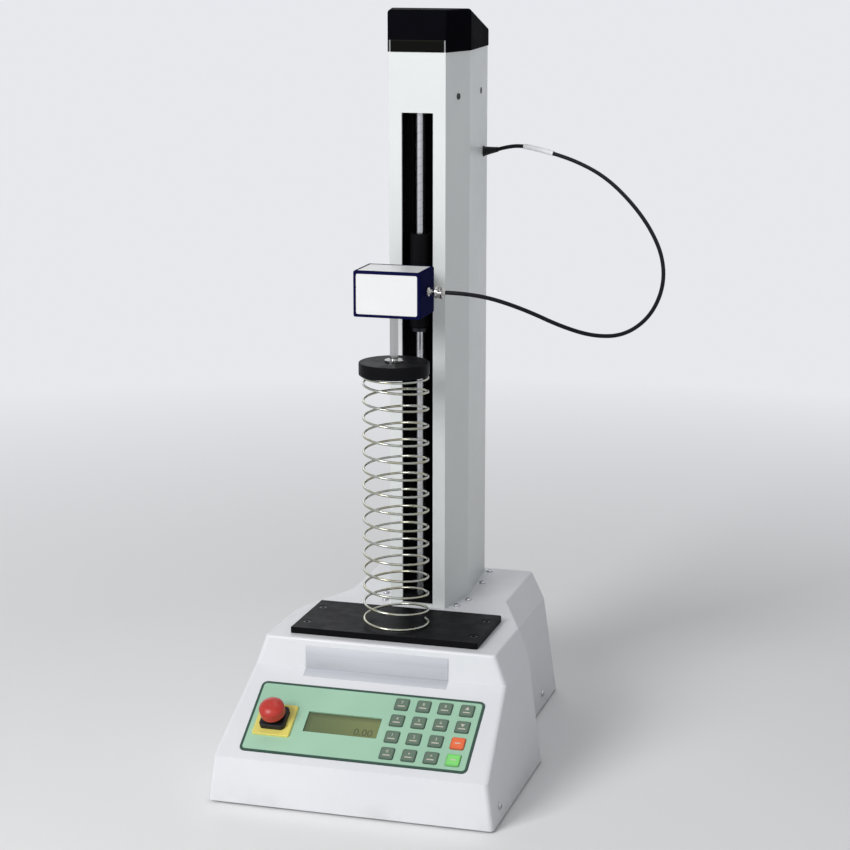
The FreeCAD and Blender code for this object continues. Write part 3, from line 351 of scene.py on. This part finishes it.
# a material built round one Principled shader
class Look:
    def __init__(self, name, colour, rough, metal=0.0, **fixed):
        self.material = bpy.data.materials.new(name)
        self.material.use_nodes = True
        self.tree = self.material.node_tree
        self.shader = self.tree.nodes["Principled BSDF"]
        self.set("Base Color", (*colour, 1))
        self.set("Roughness", rough)
        self.set("Metallic", metal)
        self.material.diffuse_color = (*colour, 1)
        for key, value in fixed.items():
            self.set(key.replace("_", " "), value)

    def set(self, socket, value):
        target = self.shader.inputs[socket]
        if isinstance(value, Sock):
            self.tree.links.new(value.out, target)
        else:
            target.default_value = value

    def add(self, kind, settings=None, inputs=None, output=0):
        node = self.tree.nodes.new(kind)
        for key, value in (settings or {}).items():
            setattr(node, key, value)
        for key, value in (inputs or {}).items():
            if isinstance(value, Sock):
                self.tree.links.new(value.out, node.inputs[key])
            else:
                node.inputs[key].default_value = value
        return Sock(self, node.outputs[output])

    def place(self):
        return self.add("ShaderNodeTexCoord", output="Object")

    def axes(self):
        node = self.tree.nodes.new("ShaderNodeSeparateXYZ")
        self.tree.links.new(self.place().out, node.inputs[0])
        return [Sock(self, out) for out in node.outputs]

    def noise(self, scale, detail, rough=0.5, stretch=None):
        where = self.place()
        if stretch:
            where = self.add("ShaderNodeMapping", {}, {"Vector": where, "Scale": stretch})
        inputs = {"Vector": where, "Scale": scale, "Detail": detail, "Roughness": rough}
        return self.add("ShaderNodeTexNoise", {}, inputs)

    def ramp(self, value, low, high, toLow, toHigh):
        inputs = {"Value": value, "From Min": low, "From Max": high, "To Min": toLow, "To Max": toHigh}
        return self.add("ShaderNodeMapRange", {"clamp": True}, inputs)

    def patches(self, source, low=0.35, high=0.65):
        # a noise spread out from none to full
        return self.ramp(source, low, high, 0.0, 1.0)

    def roughen(self, source, toLow, toHigh, low=0.3, high=0.7):
        self.set("Roughness", self.ramp(source, low, high, toLow, toHigh))

    def mix(self, share, first, second):
        inputs = {mixPlace["share"]: share}
        for key, colour in (("first", first), ("second", second)):
            inputs[mixPlace[key]] = colour if isinstance(colour, Sock) else (*colour, 1)
        return self.add("ShaderNodeMix", {"data_type": "RGBA"}, inputs, mixPlace["result"])

    def bump(self, height, strength, distance):
        inputs = {"Height": height, "Strength": strength, "Distance": distance}
        self.set("Normal", self.add("ShaderNodeBump", {}, inputs))


def darker(colour, share):
    return tuple(c * share for c in colour)


def paintLook(name, colour, shade, rough, grain, gloss=0.45, cover=None):
    # sprayed paint with a fine orange peel
    look = Look(name, colour, rough, Specular_IOR_Level=gloss)
    skin = look.mix(look.patches(look.noise(7.0, 3.0), high=0.7), colour, shade)
    look.set("Base Color", cover(look, skin) if cover else skin)
    look.roughen(look.noise(60.0, 3.0), rough - 0.05, rough + 0.07)
    look.bump(look.noise(grain, 2.0), strength=0.12, distance=0.0004)
    return look


def metalLook(name, colour, rough, stretch, scale=90.0, tint=0.12, metal=1.0):
    # drawn or turned metal with fine streaks along one direction
    look = Look(name, colour, rough, metal)
    streak = look.noise(scale, 4.0, 0.6, stretch)
    look.set("Base Color", look.mix(look.patches(streak), colour, darker(colour, 1 - tint)))
    look.roughen(streak, rough * 0.75, rough * 1.3)
    look.bump(streak, strength=0.08, distance=0.0002)
    return look


def plasticLook(name, colour, rough, grain=900.0, depth=0.00012, tint=0.12, gloss=0.5, cover=None):
    # moulded plastic with a faint spark-eroded grain
    look = Look(name, colour, rough, Specular_IOR_Level=gloss)
    cloud = look.noise(25.0, 3.0)
    skin = look.mix(look.patches(cloud), colour, darker(colour, 1 - tint))
    look.set("Base Color", cover(look, skin) if cover else skin)
    look.roughen(cloud, rough - 0.04, rough + 0.06)
    look.bump(look.noise(grain, 1.0), strength=0.2, distance=depth)
    return look


# the cap's recessed front, between the column's two narrow ears
recess = {
    "back": 0.0304,
    "backSpan": (0.0003, 0.0005),
    "top": 0.8590,
    "half": 0.0346,
    "blur": 0.0002,
    # the band of a painted highlight along the top of the recessed strip, the strip's own tone, and the
    # highlight's tone
    "line": (0.8572, 0.85792),
    "strip": (0.0072, 0.0074, 0.0066),
    "stripHighlight": (0.017, 0.016, 0.012),
    # the ears are darkened above this height with painted shade, by this share and to this tone
    "ears": (0.8446, 0.8450),
    "earShadeShare": 0.8,
    "earShadeTone": (0.11, 0.115, 0.115),
}


# the column's paint on the two ears is darkened with painted shade under the cap
def earShadeCover(look, skin):
    height = look.axes()[2]
    ear = look.ramp(height, *recess["ears"], 0.0, recess["earShadeShare"])
    return look.mix(ear, skin, recess["earShadeTone"])


def stripCover(look, skin):
    x, y, z = look.axes()
    near = look.ramp((y - recess["back"]).size(), *recess["backSpan"], 1.0, 0.0)
    across = look.ramp(x.size(), recess["half"], recess["half"] + recess["blur"], 1.0, 0.0)
    below = look.ramp(z, recess["top"], recess["top"] + recess["blur"], 1.0, 0.0)
    # the recessed strip's own tone with a painted highlight line along its top
    strip = look.mix(look.ramp(z, *recess["line"], 0.0, 1.0), recess["strip"], recess["stripHighlight"])
    return look.mix(near * across * below, skin, strip)


# the sloped panel's own plane
panel = {
    "foot": (0.0, -0.2465, 0.057),
    "slope": math.atan2(75.0, 117.5),
    "half": (0.136, 0.051),
    "centreUp": 0.0625,
    "corner": 0.007,
    "border": 0.0031,
    "blur": 0.0003,
    "mint": (0.385, 0.63, 0.455),
    "mintDeep": (0.335, 0.57, 0.41),
    "edge": (0.012, 0.055, 0.035),
}


def onPanel(along, up, out):
    # a place on the slope, measured along, up and out of it
    foot, slope = panel["foot"], panel["slope"]
    return Vector((
        foot[0] + along,
        foot[1] + up * math.cos(slope) - out * math.sin(slope),
        foot[2] + up * math.sin(slope) + out * math.cos(slope),
    ))


def panelTurn():
    return Matrix.Rotation(panel["slope"], 4, "X")


def alongAndUp(look):
    # the same two measures inside a material
    x, y, z = look.axes()
    foot, slope = panel["foot"], panel["slope"]
    return x, (y - foot[1]) * math.cos(slope) + (z - foot[2]) * math.sin(slope)


def filmLook(c):
    # mint film with a dark green border
    look = Look("panelFilm", c["mint"], 0.42)
    along, up = alongAndUp(look)
    pastSide = along.size() - (c["half"][0] - c["corner"])
    pastTop = (up - c["centreUp"]).size() - (c["half"][1] - c["corner"])
    outSide, outTop = pastSide.larger(0.0), pastTop.larger(0.0)
    corner = (outSide * outSide + outTop * outTop).maths("SQRT")
    reach = corner + pastSide.larger(pastTop).smaller(0.0)
    border = c["corner"] - c["border"]
    rim = look.ramp(reach, border - c["blur"], border + c["blur"], 0.0, 1.0)
    film = look.mix(look.patches(look.noise(9.0, 2.0)), c["mint"], c["mintDeep"])
    look.set("Base Color", look.mix(rim, film, c["edge"]))
    look.roughen(look.noise(300.0, 2.0), 0.36, 0.5)
    look.bump(look.noise(1400.0, 1.0), strength=0.15, distance=0.0001)
    return look


# the screen's window on the slope, with painted shade from its upper and left edges and a painted light sweep
# across the glass
screen = {
    "glass": (0.15, 0.19, 0.075),
    "centre": (-0.0235, 0.0613),
    "half": (0.0430, 0.0132),
    "blur": 0.0005,
    "rough": (0.25, 0.42),
    "sweepLean": 0.6,
    "sweep": (-0.02, 0.045),
    "dull": (0.125, 0.165, 0.070),
    "bright": (0.19, 0.225, 0.085),
    "topShade": (0.0685, 0.0755, 0.0, 0.55),
    "leftShade": (-0.0660, -0.0600, 0.35, 0.0),
    "shade": (0.035, 0.05, 0.03),
    "dotRate": 2200.0,
    "dots": (0.2, 1.0, 0.0, 0.10),
    "dotTone": (0.10, 0.12, 0.04),
}


def screenLook(c):
    look = Look("screenGlass", c["glass"], 0.3, Specular_IOR_Level=0.3)
    along, up = alongAndUp(look)
    # painted light: the glass is shaded at the lower left and lit at the upper right
    sweep = look.ramp(along + up * c["sweepLean"], *c["sweep"], 0.0, 1.0)
    tone = look.mix(sweep, c["dull"], c["bright"])
    # painted shade along the window's upper and left edges
    depth = look.ramp(up, *c["topShade"]).larger(look.ramp(along, *c["leftShade"]))
    tone = look.mix(depth, tone, c["shade"])
    waves = (along * c["dotRate"]).maths("SINE") * (up * c["dotRate"]).maths("SINE")
    look.set("Base Color", look.mix(look.ramp(waves, *c["dots"]), tone, c["dotTone"]))
    pastSide = (along - c["centre"][0]).size() - c["half"][0]
    pastTop = (up - c["centre"][1]).size() - c["half"][1]
    look.set("Roughness", look.ramp(pastSide.larger(pastTop), -c["blur"], c["blur"], *c["rough"]))
    return look


# the keys stand in four rows of four, counted from the upper left one
keyGrid = {"pitch": (0.026, 0.0235), "first": (0.039, 0.0981), "perRow": 4, "rim": (0.0063, 0.0074)}


def fromKey(measure, first, pitch):
    # how far from the middle of the nearest key
    return ((((measure - first) / pitch + 0.5).maths("FRACT") - 0.5) * pitch).size()


def keyLook(name, colour, edge):
    # each moulded key darkens towards its rim: painted shade on its rounded edges
    look = Look(name, colour, 0.4)
    along, up = alongAndUp(look)
    side = fromKey(along, keyGrid["first"][0], keyGrid["pitch"][0])
    height = fromKey(up, keyGrid["first"][1], keyGrid["pitch"][1])
    rim = look.ramp(side.larger(height), *keyGrid["rim"], 0.0, 1.0)
    look.set("Base Color", look.mix(rim, colour, edge))
    look.roughen(look.noise(220.0, 2.0), 0.34, 0.48)
    look.bump(look.noise(1500.0, 1.0), strength=0.15, distance=0.0001)
    return look


# the screw's axis stands at this y, and its thread climbs one lead each turn
thread = {"axis": 0.045, "lead": 0.010, "groove": (0.7, 1.0), "dark": 0.86}


def screwLook(name, colour, rough):
    # ground screw with a shallow spiral groove, darkened with painted shade down in the groove
    look = Look(name, colour, rough, 1.0)
    x, y, z = look.axes()
    turn = (y - thread["axis"]).maths("ARCTAN2", x) / (2 * math.pi)
    wave = ((z / thread["lead"] - turn) * (2 * math.pi)).maths("SINE")
    dent = look.ramp(wave, *thread["groove"], 0.0, 1.0)
    look.set("Base Color", look.mix(dent, colour, darker(colour, thread["dark"])))
    look.roughen(look.noise(180.0, 3.0, stretch=(1.0, 1.0, 0.02)), rough * 0.7, rough * 1.4)
    look.bump(dent * -1.0, strength=0.12, distance=0.0002)
    return look


def wireLook(name, clean, yellow):
    # zinc-passivated spring wire, a little yellow in places
    look = Look(name, clean, 0.2, 1.0)
    look.set("Base Color", look.mix(look.patches(look.noise(45.0, 3.0)), clean, yellow))
    look.roughen(look.noise(300.0, 2.0), 0.14, 0.28)
    return look


# the casing's paint, darker in patches towards the floor
casing = {
    "clean": (0.79, 0.80, 0.82),
    "shade": (0.75, 0.76, 0.79),
    "bottomDark": (0.52, 0.52, 0.52),
    "bottomDarkRise": (0.003, 0.03, 0.35, 0.0),
    "bottomDarkPatches": (0.4, 0.7, 0.2, 1.0),
}


def casingLook(c):
    look = Look("casingPaint", c["clean"], 0.4)
    height = look.axes()[2]
    clean = look.mix(look.patches(look.noise(6.0, 3.0), high=0.7), c["clean"], c["shade"])
    # the lowest few centimetres are darkened in patches
    bottomDark = look.ramp(height, *c["bottomDarkRise"]) * look.ramp(look.noise(30.0, 4.0), *c["bottomDarkPatches"])
    look.set("Base Color", look.mix(bottomDark, clean, c["bottomDark"]))
    look.roughen(look.noise(70.0, 3.0), 0.34, 0.47)
    look.bump(look.noise(520.0, 2.0), strength=0.12, distance=0.0003)
    return look


def plugLook(name, colour, rough):
    # nickel plate, darkened down in the ring's teeth with painted shade
    look = Look(name, colour, rough, 1.0)
    x, y, z = look.axes()
    up, side = z - plug["foot"][2], y - plug["foot"][1]
    out = (up * up + side * side).maths("SQRT")
    ring = look.ramp((x - plug["teethMiddle"]).size(), *plug["ringEdge"], 1.0, 0.0)
    teethShade = ring * look.ramp(out, *plug["teethFloor"], 1.0, 0.0)
    look.set("Base Color", look.mix(teethShade, colour, darker(colour, 0.3)))
    look.roughen(look.noise(200.0, 3.0), rough * 0.8, rough * 1.3)
    look.bump(look.noise(900.0, 2.0), strength=0.05, distance=0.0001)
    return look


# the mains inlet on the leaning rear face
inlet = {
    "centre": (-0.060, 0.23732, 0.080),
    "lean": math.atan2(12.0, 75.0),
    "shift": -0.0089,
    "pins": [(-0.007, -0.002), (0.007, -0.002), (0.0, 0.003)],
    "pinHalf": (0.00115, 0.00215),
    "pinBlur": 0.0001,
    "pinFoot": (0.0004, 0.0008),
    "pinTone": (0.60, 0.58, 0.52),
    "skin": (0.012, 0.012, 0.013),
    "skinShade": (0.018, 0.018, 0.019),
    "rocker": 0.0178,
    "marks": [
        ("rockerMarkOff", "O", 0.0047, 0.00206, 7.3),
        ("rockerMarkOn", "I", -0.0047, 0.00286, -16.6),
    ],
    "markSize": 0.0052,
    "markThick": 0.00004,
}


def rearTurn(c):
    # columns are along, up and out of the rear face
    lean = c["lean"]
    turn = Matrix(((-1, 0, 0), (0, -math.sin(lean), math.cos(lean)), (0, math.cos(lean), math.sin(lean))))
    return Matrix.Translation(c["centre"]) @ turn.to_4x4()


def inletLook(c):
    # black moulding with bright blades down in the socket
    look = Look("inletPlastic", c["skin"], 0.42, Specular_IOR_Level=0.3)
    x, y, z = look.axes()
    back, rise = y - c["centre"][1], z - c["centre"][2]
    along = (x - c["centre"][0]) * -1.0 - c["shift"]
    up = rise * math.cos(c["lean"]) - back * math.sin(c["lean"])
    out = rise * math.sin(c["lean"]) + back * math.cos(c["lean"])
    gaps = []
    for pinAlong, pinUp in c["pins"]:
        pastSide = (along - pinAlong).size() - c["pinHalf"][0]
        pastTop = (up - pinUp).size() - c["pinHalf"][1]
        gaps.append(pastSide.larger(pastTop))
    nearest = gaps[0].smaller(gaps[1]).smaller(gaps[2])
    inside = look.ramp(nearest, -c["pinBlur"], c["pinBlur"], 1.0, 0.0)
    blade = inside * look.ramp(out, *c["pinFoot"], 1.0, 0.0)
    skin = look.mix(look.patches(look.noise(40.0, 3.0)), c["skin"], c["skinShade"])
    look.set("Base Color", look.mix(blade, skin, c["pinTone"]))
    look.set("Metallic", blade)
    look.roughen(look.noise(260.0, 2.0), 0.36, 0.5)
    look.bump(look.noise(900.0, 1.0), strength=0.2, distance=0.0001)
    return look


# how the grain of a metal is drawn out along the axes
even, upright, sideways = (1.0, 1.0, 1.0), (1.0, 1.0, 0.05), (0.05, 1.0, 1.0)

looks = {
    "casing": casingLook(casing),
    "column": paintLook("columnPaint", (0.73, 0.755, 0.745), (0.69, 0.715, 0.71), rough=0.38, grain=480.0,
                        cover=earShadeCover),
    "blackCoat": paintLook("blackCoat", (0.005, 0.005, 0.006), (0.008, 0.008, 0.009), rough=0.42, grain=700.0,
                           gloss=0.03),
    "cellCoat": paintLook("cellCoat", (0.005, 0.006, 0.042), (0.007, 0.008, 0.052), rough=0.45, grain=600.0,
                          gloss=0.001),
    "capPlastic": plasticLook("capPlastic", (0.004, 0.004, 0.006), rough=0.36, grain=700.0, gloss=0.0006,
                              cover=stripCover),
    "blackPlastic": plasticLook("blackPlastic", (0.010, 0.010, 0.011), rough=0.42, gloss=0.25),
    "rubber": plasticLook("rubber", (0.014, 0.014, 0.014), rough=0.75, grain=500.0, depth=0.0003, gloss=0.3),
    "cableSkin": plasticLook("cableSkin", (0.007, 0.007, 0.010), rough=0.38, grain=600.0, depth=0.0001,
                             gloss=0.12),
    "steel": metalLook("brightSteel", (0.50, 0.50, 0.49), rough=0.15, stretch=(1.0, 1.0, 0.03)),
    "screwHead": metalLook("screwHead", (0.50, 0.50, 0.52), rough=0.32, stretch=even, scale=200.0),
    "blackScrew": metalLook("blackScrew", (0.030, 0.030, 0.034), rough=0.34, stretch=even, scale=200.0),
    "frameSteel": metalLook("frameSteel", (0.42, 0.43, 0.44), rough=0.42, stretch=sideways),
    "aluminium": metalLook("aluminium", (0.74, 0.74, 0.75), rough=0.36, stretch=upright),
    "brass": metalLook("brass", (0.72, 0.52, 0.24), rough=0.3, stretch=upright),
    "screw": screwLook("screwThread", (0.46, 0.47, 0.485), rough=0.24),
    "plug": plugLook("plugNickel", (0.46, 0.45, 0.43), rough=0.24),
    "wire": wireLook("springWire", clean=(0.40, 0.42, 0.39), yellow=(0.38, 0.36, 0.26)),
    "film": filmLook(panel),
    "screen": screenLook(screen),
    "keyGrey": keyLook("keyGrey", (0.112, 0.176, 0.125), edge=(0.070, 0.115, 0.082)),
    "keyRed": keyLook("keyRed", (0.85, 0.155, 0.045), edge=(0.60, 0.10, 0.03)),
    "keyGreen": keyLook("keyGreen", (0.22, 0.72, 0.17), edge=(0.16, 0.52, 0.13)),
    "stopRed": plasticLook("stopRed", (0.53, 0.034, 0.022), rough=0.30, grain=300.0, depth=0.00005,
                           gloss=0.4),
    "stopYellow": plasticLook("stopYellow", (0.84, 0.73, 0.17), rough=0.4),
    "whiteCard": plasticLook("whiteCard", (0.80, 0.80, 0.80), rough=0.35, grain=500.0, depth=0.00006,
                             tint=0.04),
    "sleeve": plasticLook("sleeveWhite", (0.78, 0.79, 0.80), rough=0.45, grain=500.0, depth=0.00008,
                          tint=0.06),
    "board": plasticLook("boardGreen", (0.03, 0.20, 0.08), rough=0.4),
    "ink": plasticLook("keyInk", (0.62, 0.58, 0.49), rough=0.5, grain=500.0, depth=0.00003, tint=0.03),
    "inlet": inletLook(inlet),
    "rocker": plasticLook("rockerPlastic", (0.026, 0.026, 0.028), rough=0.3, gloss=0.4),
    "darkInk": plasticLook("darkInk", (0.070, 0.085, 0.033), rough=0.4, grain=500.0, depth=0.00003,
                           tint=0.03),
    "namePlate": metalLook("namePlate", (0.56, 0.57, 0.61), rough=0.55, stretch=(0.03, 1.0, 1.0), tint=0.05,
                           metal=0.35),
}

nodeLooks = {
    "base_casing": "casing", "base_plate": "frameSteel", "rubber_feet": "rubber",
    "button_screws": "screwHead", "control_panel": "film", "control_board": "board",
    "lcd_window": "screen", "lcd_module": "board", "estop_plate": "stopYellow",
    "estop_body": "blackPlastic", "estop_stem": "blackPlastic", "estop_head": "stopRed",
    "bed_plate": "blackCoat", "bed_screws": "blackScrew", "deck_plate": "frameSteel",
    "deck_pillars": "frameSteel", "column_casing": "column", "column_plugs": "blackPlastic",
    "column_cap": "capPlastic", "column_spine": "blackCoat", "guide_rods": "steel",
    "screw_shroud": "blackCoat", "lower_bearing_block": "blackCoat",
    "upper_bearing_block": "blackCoat", "lead_screw": "screw", "screw_pulley": "aluminium",
    "motor_pulley": "aluminium", "drive_belt": "rubber", "drive_motor": "blackCoat",
    "carriage": "blackCoat", "ball_nut": "blackScrew", "carriage_bushes": "brass",
    "load_cell_arm": "blackCoat", "load_cell_body": "cellCoat", "load_cell_panels": "whiteCard",
    "load_cell_connector": "plug", "plunger": "steel", "upper_platen": "blackCoat",
    "test_spring": "wire", "load_cell_cable": "cableSkin", "cable_marker": "sleeve",
    "cable_socket": "blackPlastic", "mains_inlet": "inlet", "power_rocker": "rocker",
    "key_12": "keyRed", "key_16": "keyGreen",
}


def dress(piece, lookName):
    piece.data.materials.clear()
    piece.data.materials.append(looks[lookName].material)


for name, node in nodes.items():
    chosen = looks[nodeLooks.get(name, "keyGrey")].material
    for holder in node.material_slots:
        holder.material = chosen
    if not node.material_slots:
        node.data.materials.append(chosen)
dress(cablePiece, "cableSkin")
dress(sleevePiece, "sleeve")
dress(plugPiece, "plug")
dress(bootPiece, "blackPlastic")
print("materials made")


# the coil spring that stands on the bed under the platen
# its turns are counted from the right side, and its free end lies a little before that
coil = {
    "centre": (0.0018, -0.0647),
    "radius": 0.0380,
    "wire": 0.00145,
    "foot": 0.1757,
    "head": 0.4781,
    "startTurn": -0.11,
    "closedLow": 0.36,
    "activeTurns": 14.5,
    "closedHigh": 0.75,
    "closeRise": 0.00305,
    "easing": (-0.2, -0.1, 0.0, 0.1, 0.2),
    "steps": 40,
}


def coilHeight(turn, c, rise):
    # closed at both ends, with an even pitch between them
    if turn <= c["closedLow"]:
        return c["closeRise"] * turn
    if turn >= c["closedLow"] + c["activeTurns"]:
        return c["closeRise"] * (turn - c["activeTurns"]) + rise * c["activeTurns"]
    return c["closeRise"] * c["closedLow"] + rise * (turn - c["closedLow"])


def makeSpring(c):
    low, high = c["foot"] + c["wire"], c["head"] - c["wire"]
    closed = c["closedLow"] + c["closedHigh"]
    turns = c["activeTurns"] + closed
    rise = (high - low - closed * c["closeRise"]) / c["activeTurns"]
    line = []
    for i in range(int(turns * c["steps"]) + 1):
        turn = i / c["steps"]
        angle = 2 * math.pi * (turn + c["startTurn"])
        near = [min(max(turn + d, 0.0), turns) for d in c["easing"]]
        height = sum(coilHeight(t, c, rise) for t in near) / len(near)
        x = c["centre"][0] + c["radius"] * math.cos(angle)
        y = c["centre"][1] - c["radius"] * math.sin(angle)
        line.append(Vector((x, y, low + height)))
    piece = makeTube("testCoil", line, c["wire"])
    dress(piece, "wire")
    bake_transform(piece)
    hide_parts("test_spring")


makeSpring(coil)
print("spring made")


def addSlab(name, centre, size, corner, turn, roundness=5, edgeShare=0.25):
    # a thin plate with rounded corners, laid in its own plane
    clearPick()
    bpy.ops.mesh.primitive_cube_add(size=1, location=(0, 0, 0))
    piece = bpy.context.object
    piece.name = name
    piece.scale = size
    settle(piece)
    corners = piece.modifiers.new("corners", "BEVEL")
    corners.width, corners.segments, corners.limit_method = corner, roundness, "WEIGHT"
    weights = piece.data.attributes.new("bevel_weight_edge", "FLOAT", "EDGE")
    for edge in piece.data.edges:
        a, b = [piece.data.vertices[i].co for i in edge.vertices]
        standing = abs(a.z - b.z) > size[2] / 2
        weights.data[edge.index].value = 1.0 if standing else 0.0
    applyAll(piece)
    softenEdges(piece, size[2] * edgeShare, sharpAngle["slab"])
    piece.data.transform(Matrix.Translation(centre) @ turn)
    smoothShade(piece, sharpAngle["slab"])
    return piece


# blank plate on the fascia under the bed, bent over the crease onto the slope
plate = {
    "along": -0.0030,
    "wide": 0.1750,
    "thick": 0.0008,
    "corner": 0.0010,
    "upright": (-0.1294, 0.1459),
    "uprightTall": 0.0268,
    "fold": (0.1330, 0.0003),
    "foldTall": 0.0128,
}


def makePlate(c):
    upright = Vector((c["along"], *c["upright"]))
    quarter = Matrix.Rotation(math.radians(90), 4, "X")
    fold = onPanel(c["along"], *c["fold"])
    parts = [
        ("fasciaPlate", upright, c["uprightTall"], quarter),
        ("fasciaPlateFold", fold, c["foldTall"], panelTurn()),
    ]
    for name, centre, tall, turn in parts:
        piece = addSlab(name, centre, (c["wide"], tall, c["thick"]), c["corner"], turn)
        dress(piece, "namePlate")
        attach(piece, "base")


makePlate(plate)


# plain figures and arrows on the keys, each over a plain line
legend = {
    "signs": "789^456v123-0.+=",
    "size": 0.0058,
    "lift": 0.0022,
    "line": (0.0086, 0.0014),
    "lineDrop": 0.0030,
    "thick": 0.00006,
    "top": 0.0023,
    "bars": {"-": (0.0065, 0.0016), "=": (0.0065, 0.0016), ".": (0.0018, 0.0018)},
    "corner": 0.0004,
}


def addSign(name, sign, size, thick, where, turn, weld=0.000001):
    # a thin raised figure
    clearPick()
    bpy.ops.object.text_add()
    piece = bpy.context.object
    piece.name = name
    piece.data.body = sign
    piece.data.size = size
    piece.data.align_x, piece.data.align_y = "CENTER", "CENTER"
    piece.data.extrude = thick
    bpy.ops.object.convert(target="MESH")
    piece = bpy.context.object
    piece.name = name
    piece.data.transform(Matrix.Translation(where) @ turn)
    pickOnly(piece)
    bpy.ops.object.mode_set(mode="EDIT")
    bpy.ops.mesh.select_all(action="SELECT")
    bpy.ops.mesh.remove_doubles(threshold=weld)
    bpy.ops.object.mode_set(mode="OBJECT")
    return piece


def addArrow(name, size, thick, where, turn, down):
    # a small solid triangle for the up and down keys
    clearPick()
    bpy.ops.mesh.primitive_cylinder_add(vertices=3, radius=size / 2, depth=2 * thick)
    piece = bpy.context.object
    piece.name = name
    flip = Matrix.Rotation(math.pi if down else 0.0, 4, "Z")
    piece.data.transform(Matrix.Translation(where) @ turn @ flip)
    return piece


def makeLegends(c):
    out = c["top"] + c["thick"] / 2
    for i, sign in enumerate(c["signs"]):
        row, column = divmod(i, keyGrid["perRow"])
        along = keyGrid["first"][0] + column * keyGrid["pitch"][0]
        up = keyGrid["first"][1] - row * keyGrid["pitch"][1]
        lift = 0.0 if sign in "-=" else c["lift"]
        where = onPanel(along, up + lift, out)
        name = "legend_%02d" % (i + 1)
        if sign in "^v":
            piece = addArrow(name, c["size"], c["thick"], where, panelTurn(), sign == "v")
        elif sign in c["bars"]:
            bar = (*c["bars"][sign], 2 * c["thick"])
            piece = addSlab(name, where, bar, c["corner"], panelTurn())
        else:
            piece = addSign(name, sign, c["size"], c["thick"], where, panelTurn())
        pieces = [piece]
        if lift:
            below = onPanel(along, up - c["lineDrop"], out)
            line = (*c["line"], 2 * c["thick"])
            pieces.append(addSlab("line_%02d" % (i + 1), below, line, c["corner"], panelTurn()))
        for piece in pieces:
            dress(piece, "ink")
            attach(piece, "button_%02d" % (i + 1))


makeLegends(legend)


# figures on the screen, sunk as deep as its window
reading = {
    "text": "0.00",
    "size": 0.0135,
    "thick": 0.00005,
    "place": (0.003, 0.0540, -0.00110),
}


def makeReading(c):
    where = onPanel(*c["place"])
    piece = addSign("screenFigures", c["text"], c["size"], c["thick"], where, panelTurn())
    dress(piece, "darkInk")
    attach(piece, "base")


makeReading(reading)
print("panel details made")


def makeRockerMarks(c):
    # plain off and on signs on the two slopes of the rocker
    for name, sign, up, out, tilt in c["marks"]:
        lean = Matrix.Rotation(math.radians(tilt), 4, "X")
        turn = rearTurn(c) @ Matrix.Translation((c["rocker"], up, out)) @ lean
        piece = addSign(name, sign, c["markSize"], c["markThick"], (0, 0, 0), turn)
        dress(piece, "ink")
        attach(piece, "rocker")


makeRockerMarks(inlet)
print("rocker marks made")


# pale floor that fades into the backdrop's colour, and soft lamps
stageSet = {
    "floor": (0.93, 0.93, 0.935),
    "backdrop": (0.800, 0.812, 0.845),
    "size": 16.0,
    "rough": 0.85,
    "fade": (0.7, 2.3),
    "aim": (0, 0, 0.4),
    "lamps": [
        ("keyLamp", (-1.3, -2.9, 1.9), 1.5, 82.0),
        ("fillLamp", (1.3, -3.0, 1.6), 1.4, 8.0),
        ("topLamp", (0.2, 0.3, 3.0), 1.8, 12.0),
        ("backLamp", (-1.4, 2.2, 1.8), 1.4, 9.0),
    ],
    "world": 0.26,
}


def makeStage(c):
    clearPick()
    bpy.ops.mesh.primitive_plane_add(size=c["size"])
    floor = bpy.context.object
    floor.name = "floor"
    look = Look("floorPaper", c["floor"], c["rough"], Specular_IOR_Level=0.0, Emission_Strength=1.0)
    x, y, z = look.axes()
    away = look.ramp((x * x + y * y).maths("SQRT"), *c["fade"], 0.0, 1.0)
    look.set("Base Color", look.mix(away, c["floor"], (0.0, 0.0, 0.0)))
    look.set("Emission Color", look.mix(away, (0.0, 0.0, 0.0), c["backdrop"]))
    floor.data.materials.append(look.material)
    for name, where, size, power in c["lamps"]:
        bpy.ops.object.light_add(type="AREA", location=where)
        lamp = bpy.context.object
        lamp.name = name
        lamp.data.shape = "SQUARE"
        lamp.data.size = size
        lamp.data.energy = power
        aim = Vector(c["aim"]) - Vector(where)
        lamp.rotation_euler = aim.to_track_quat("-Z", "Y").to_euler()
    world = bpy.data.worlds.new("studio")
    scene.world = world
    world.use_nodes = True
    tree = world.node_tree
    back = tree.nodes["Background"]
    back.inputs[0].default_value = (*c["backdrop"], 1)
    path = tree.nodes.new("ShaderNodeLightPath")
    either = tree.nodes.new("ShaderNodeMath")
    either.operation = "MAXIMUM"
    tree.links.new(path.outputs["Is Camera Ray"], either.inputs[0])
    tree.links.new(path.outputs["Is Glossy Ray"], either.inputs[1])
    level = tree.nodes.new("ShaderNodeMapRange")
    tree.links.new(either.outputs[0], level.inputs["Value"])
    level.inputs["To Min"].default_value = c["world"]
    level.inputs["To Max"].default_value = 1.0
    tree.links.new(level.outputs[0], back.inputs[1])


makeStage(stageSet)
print("stage made")
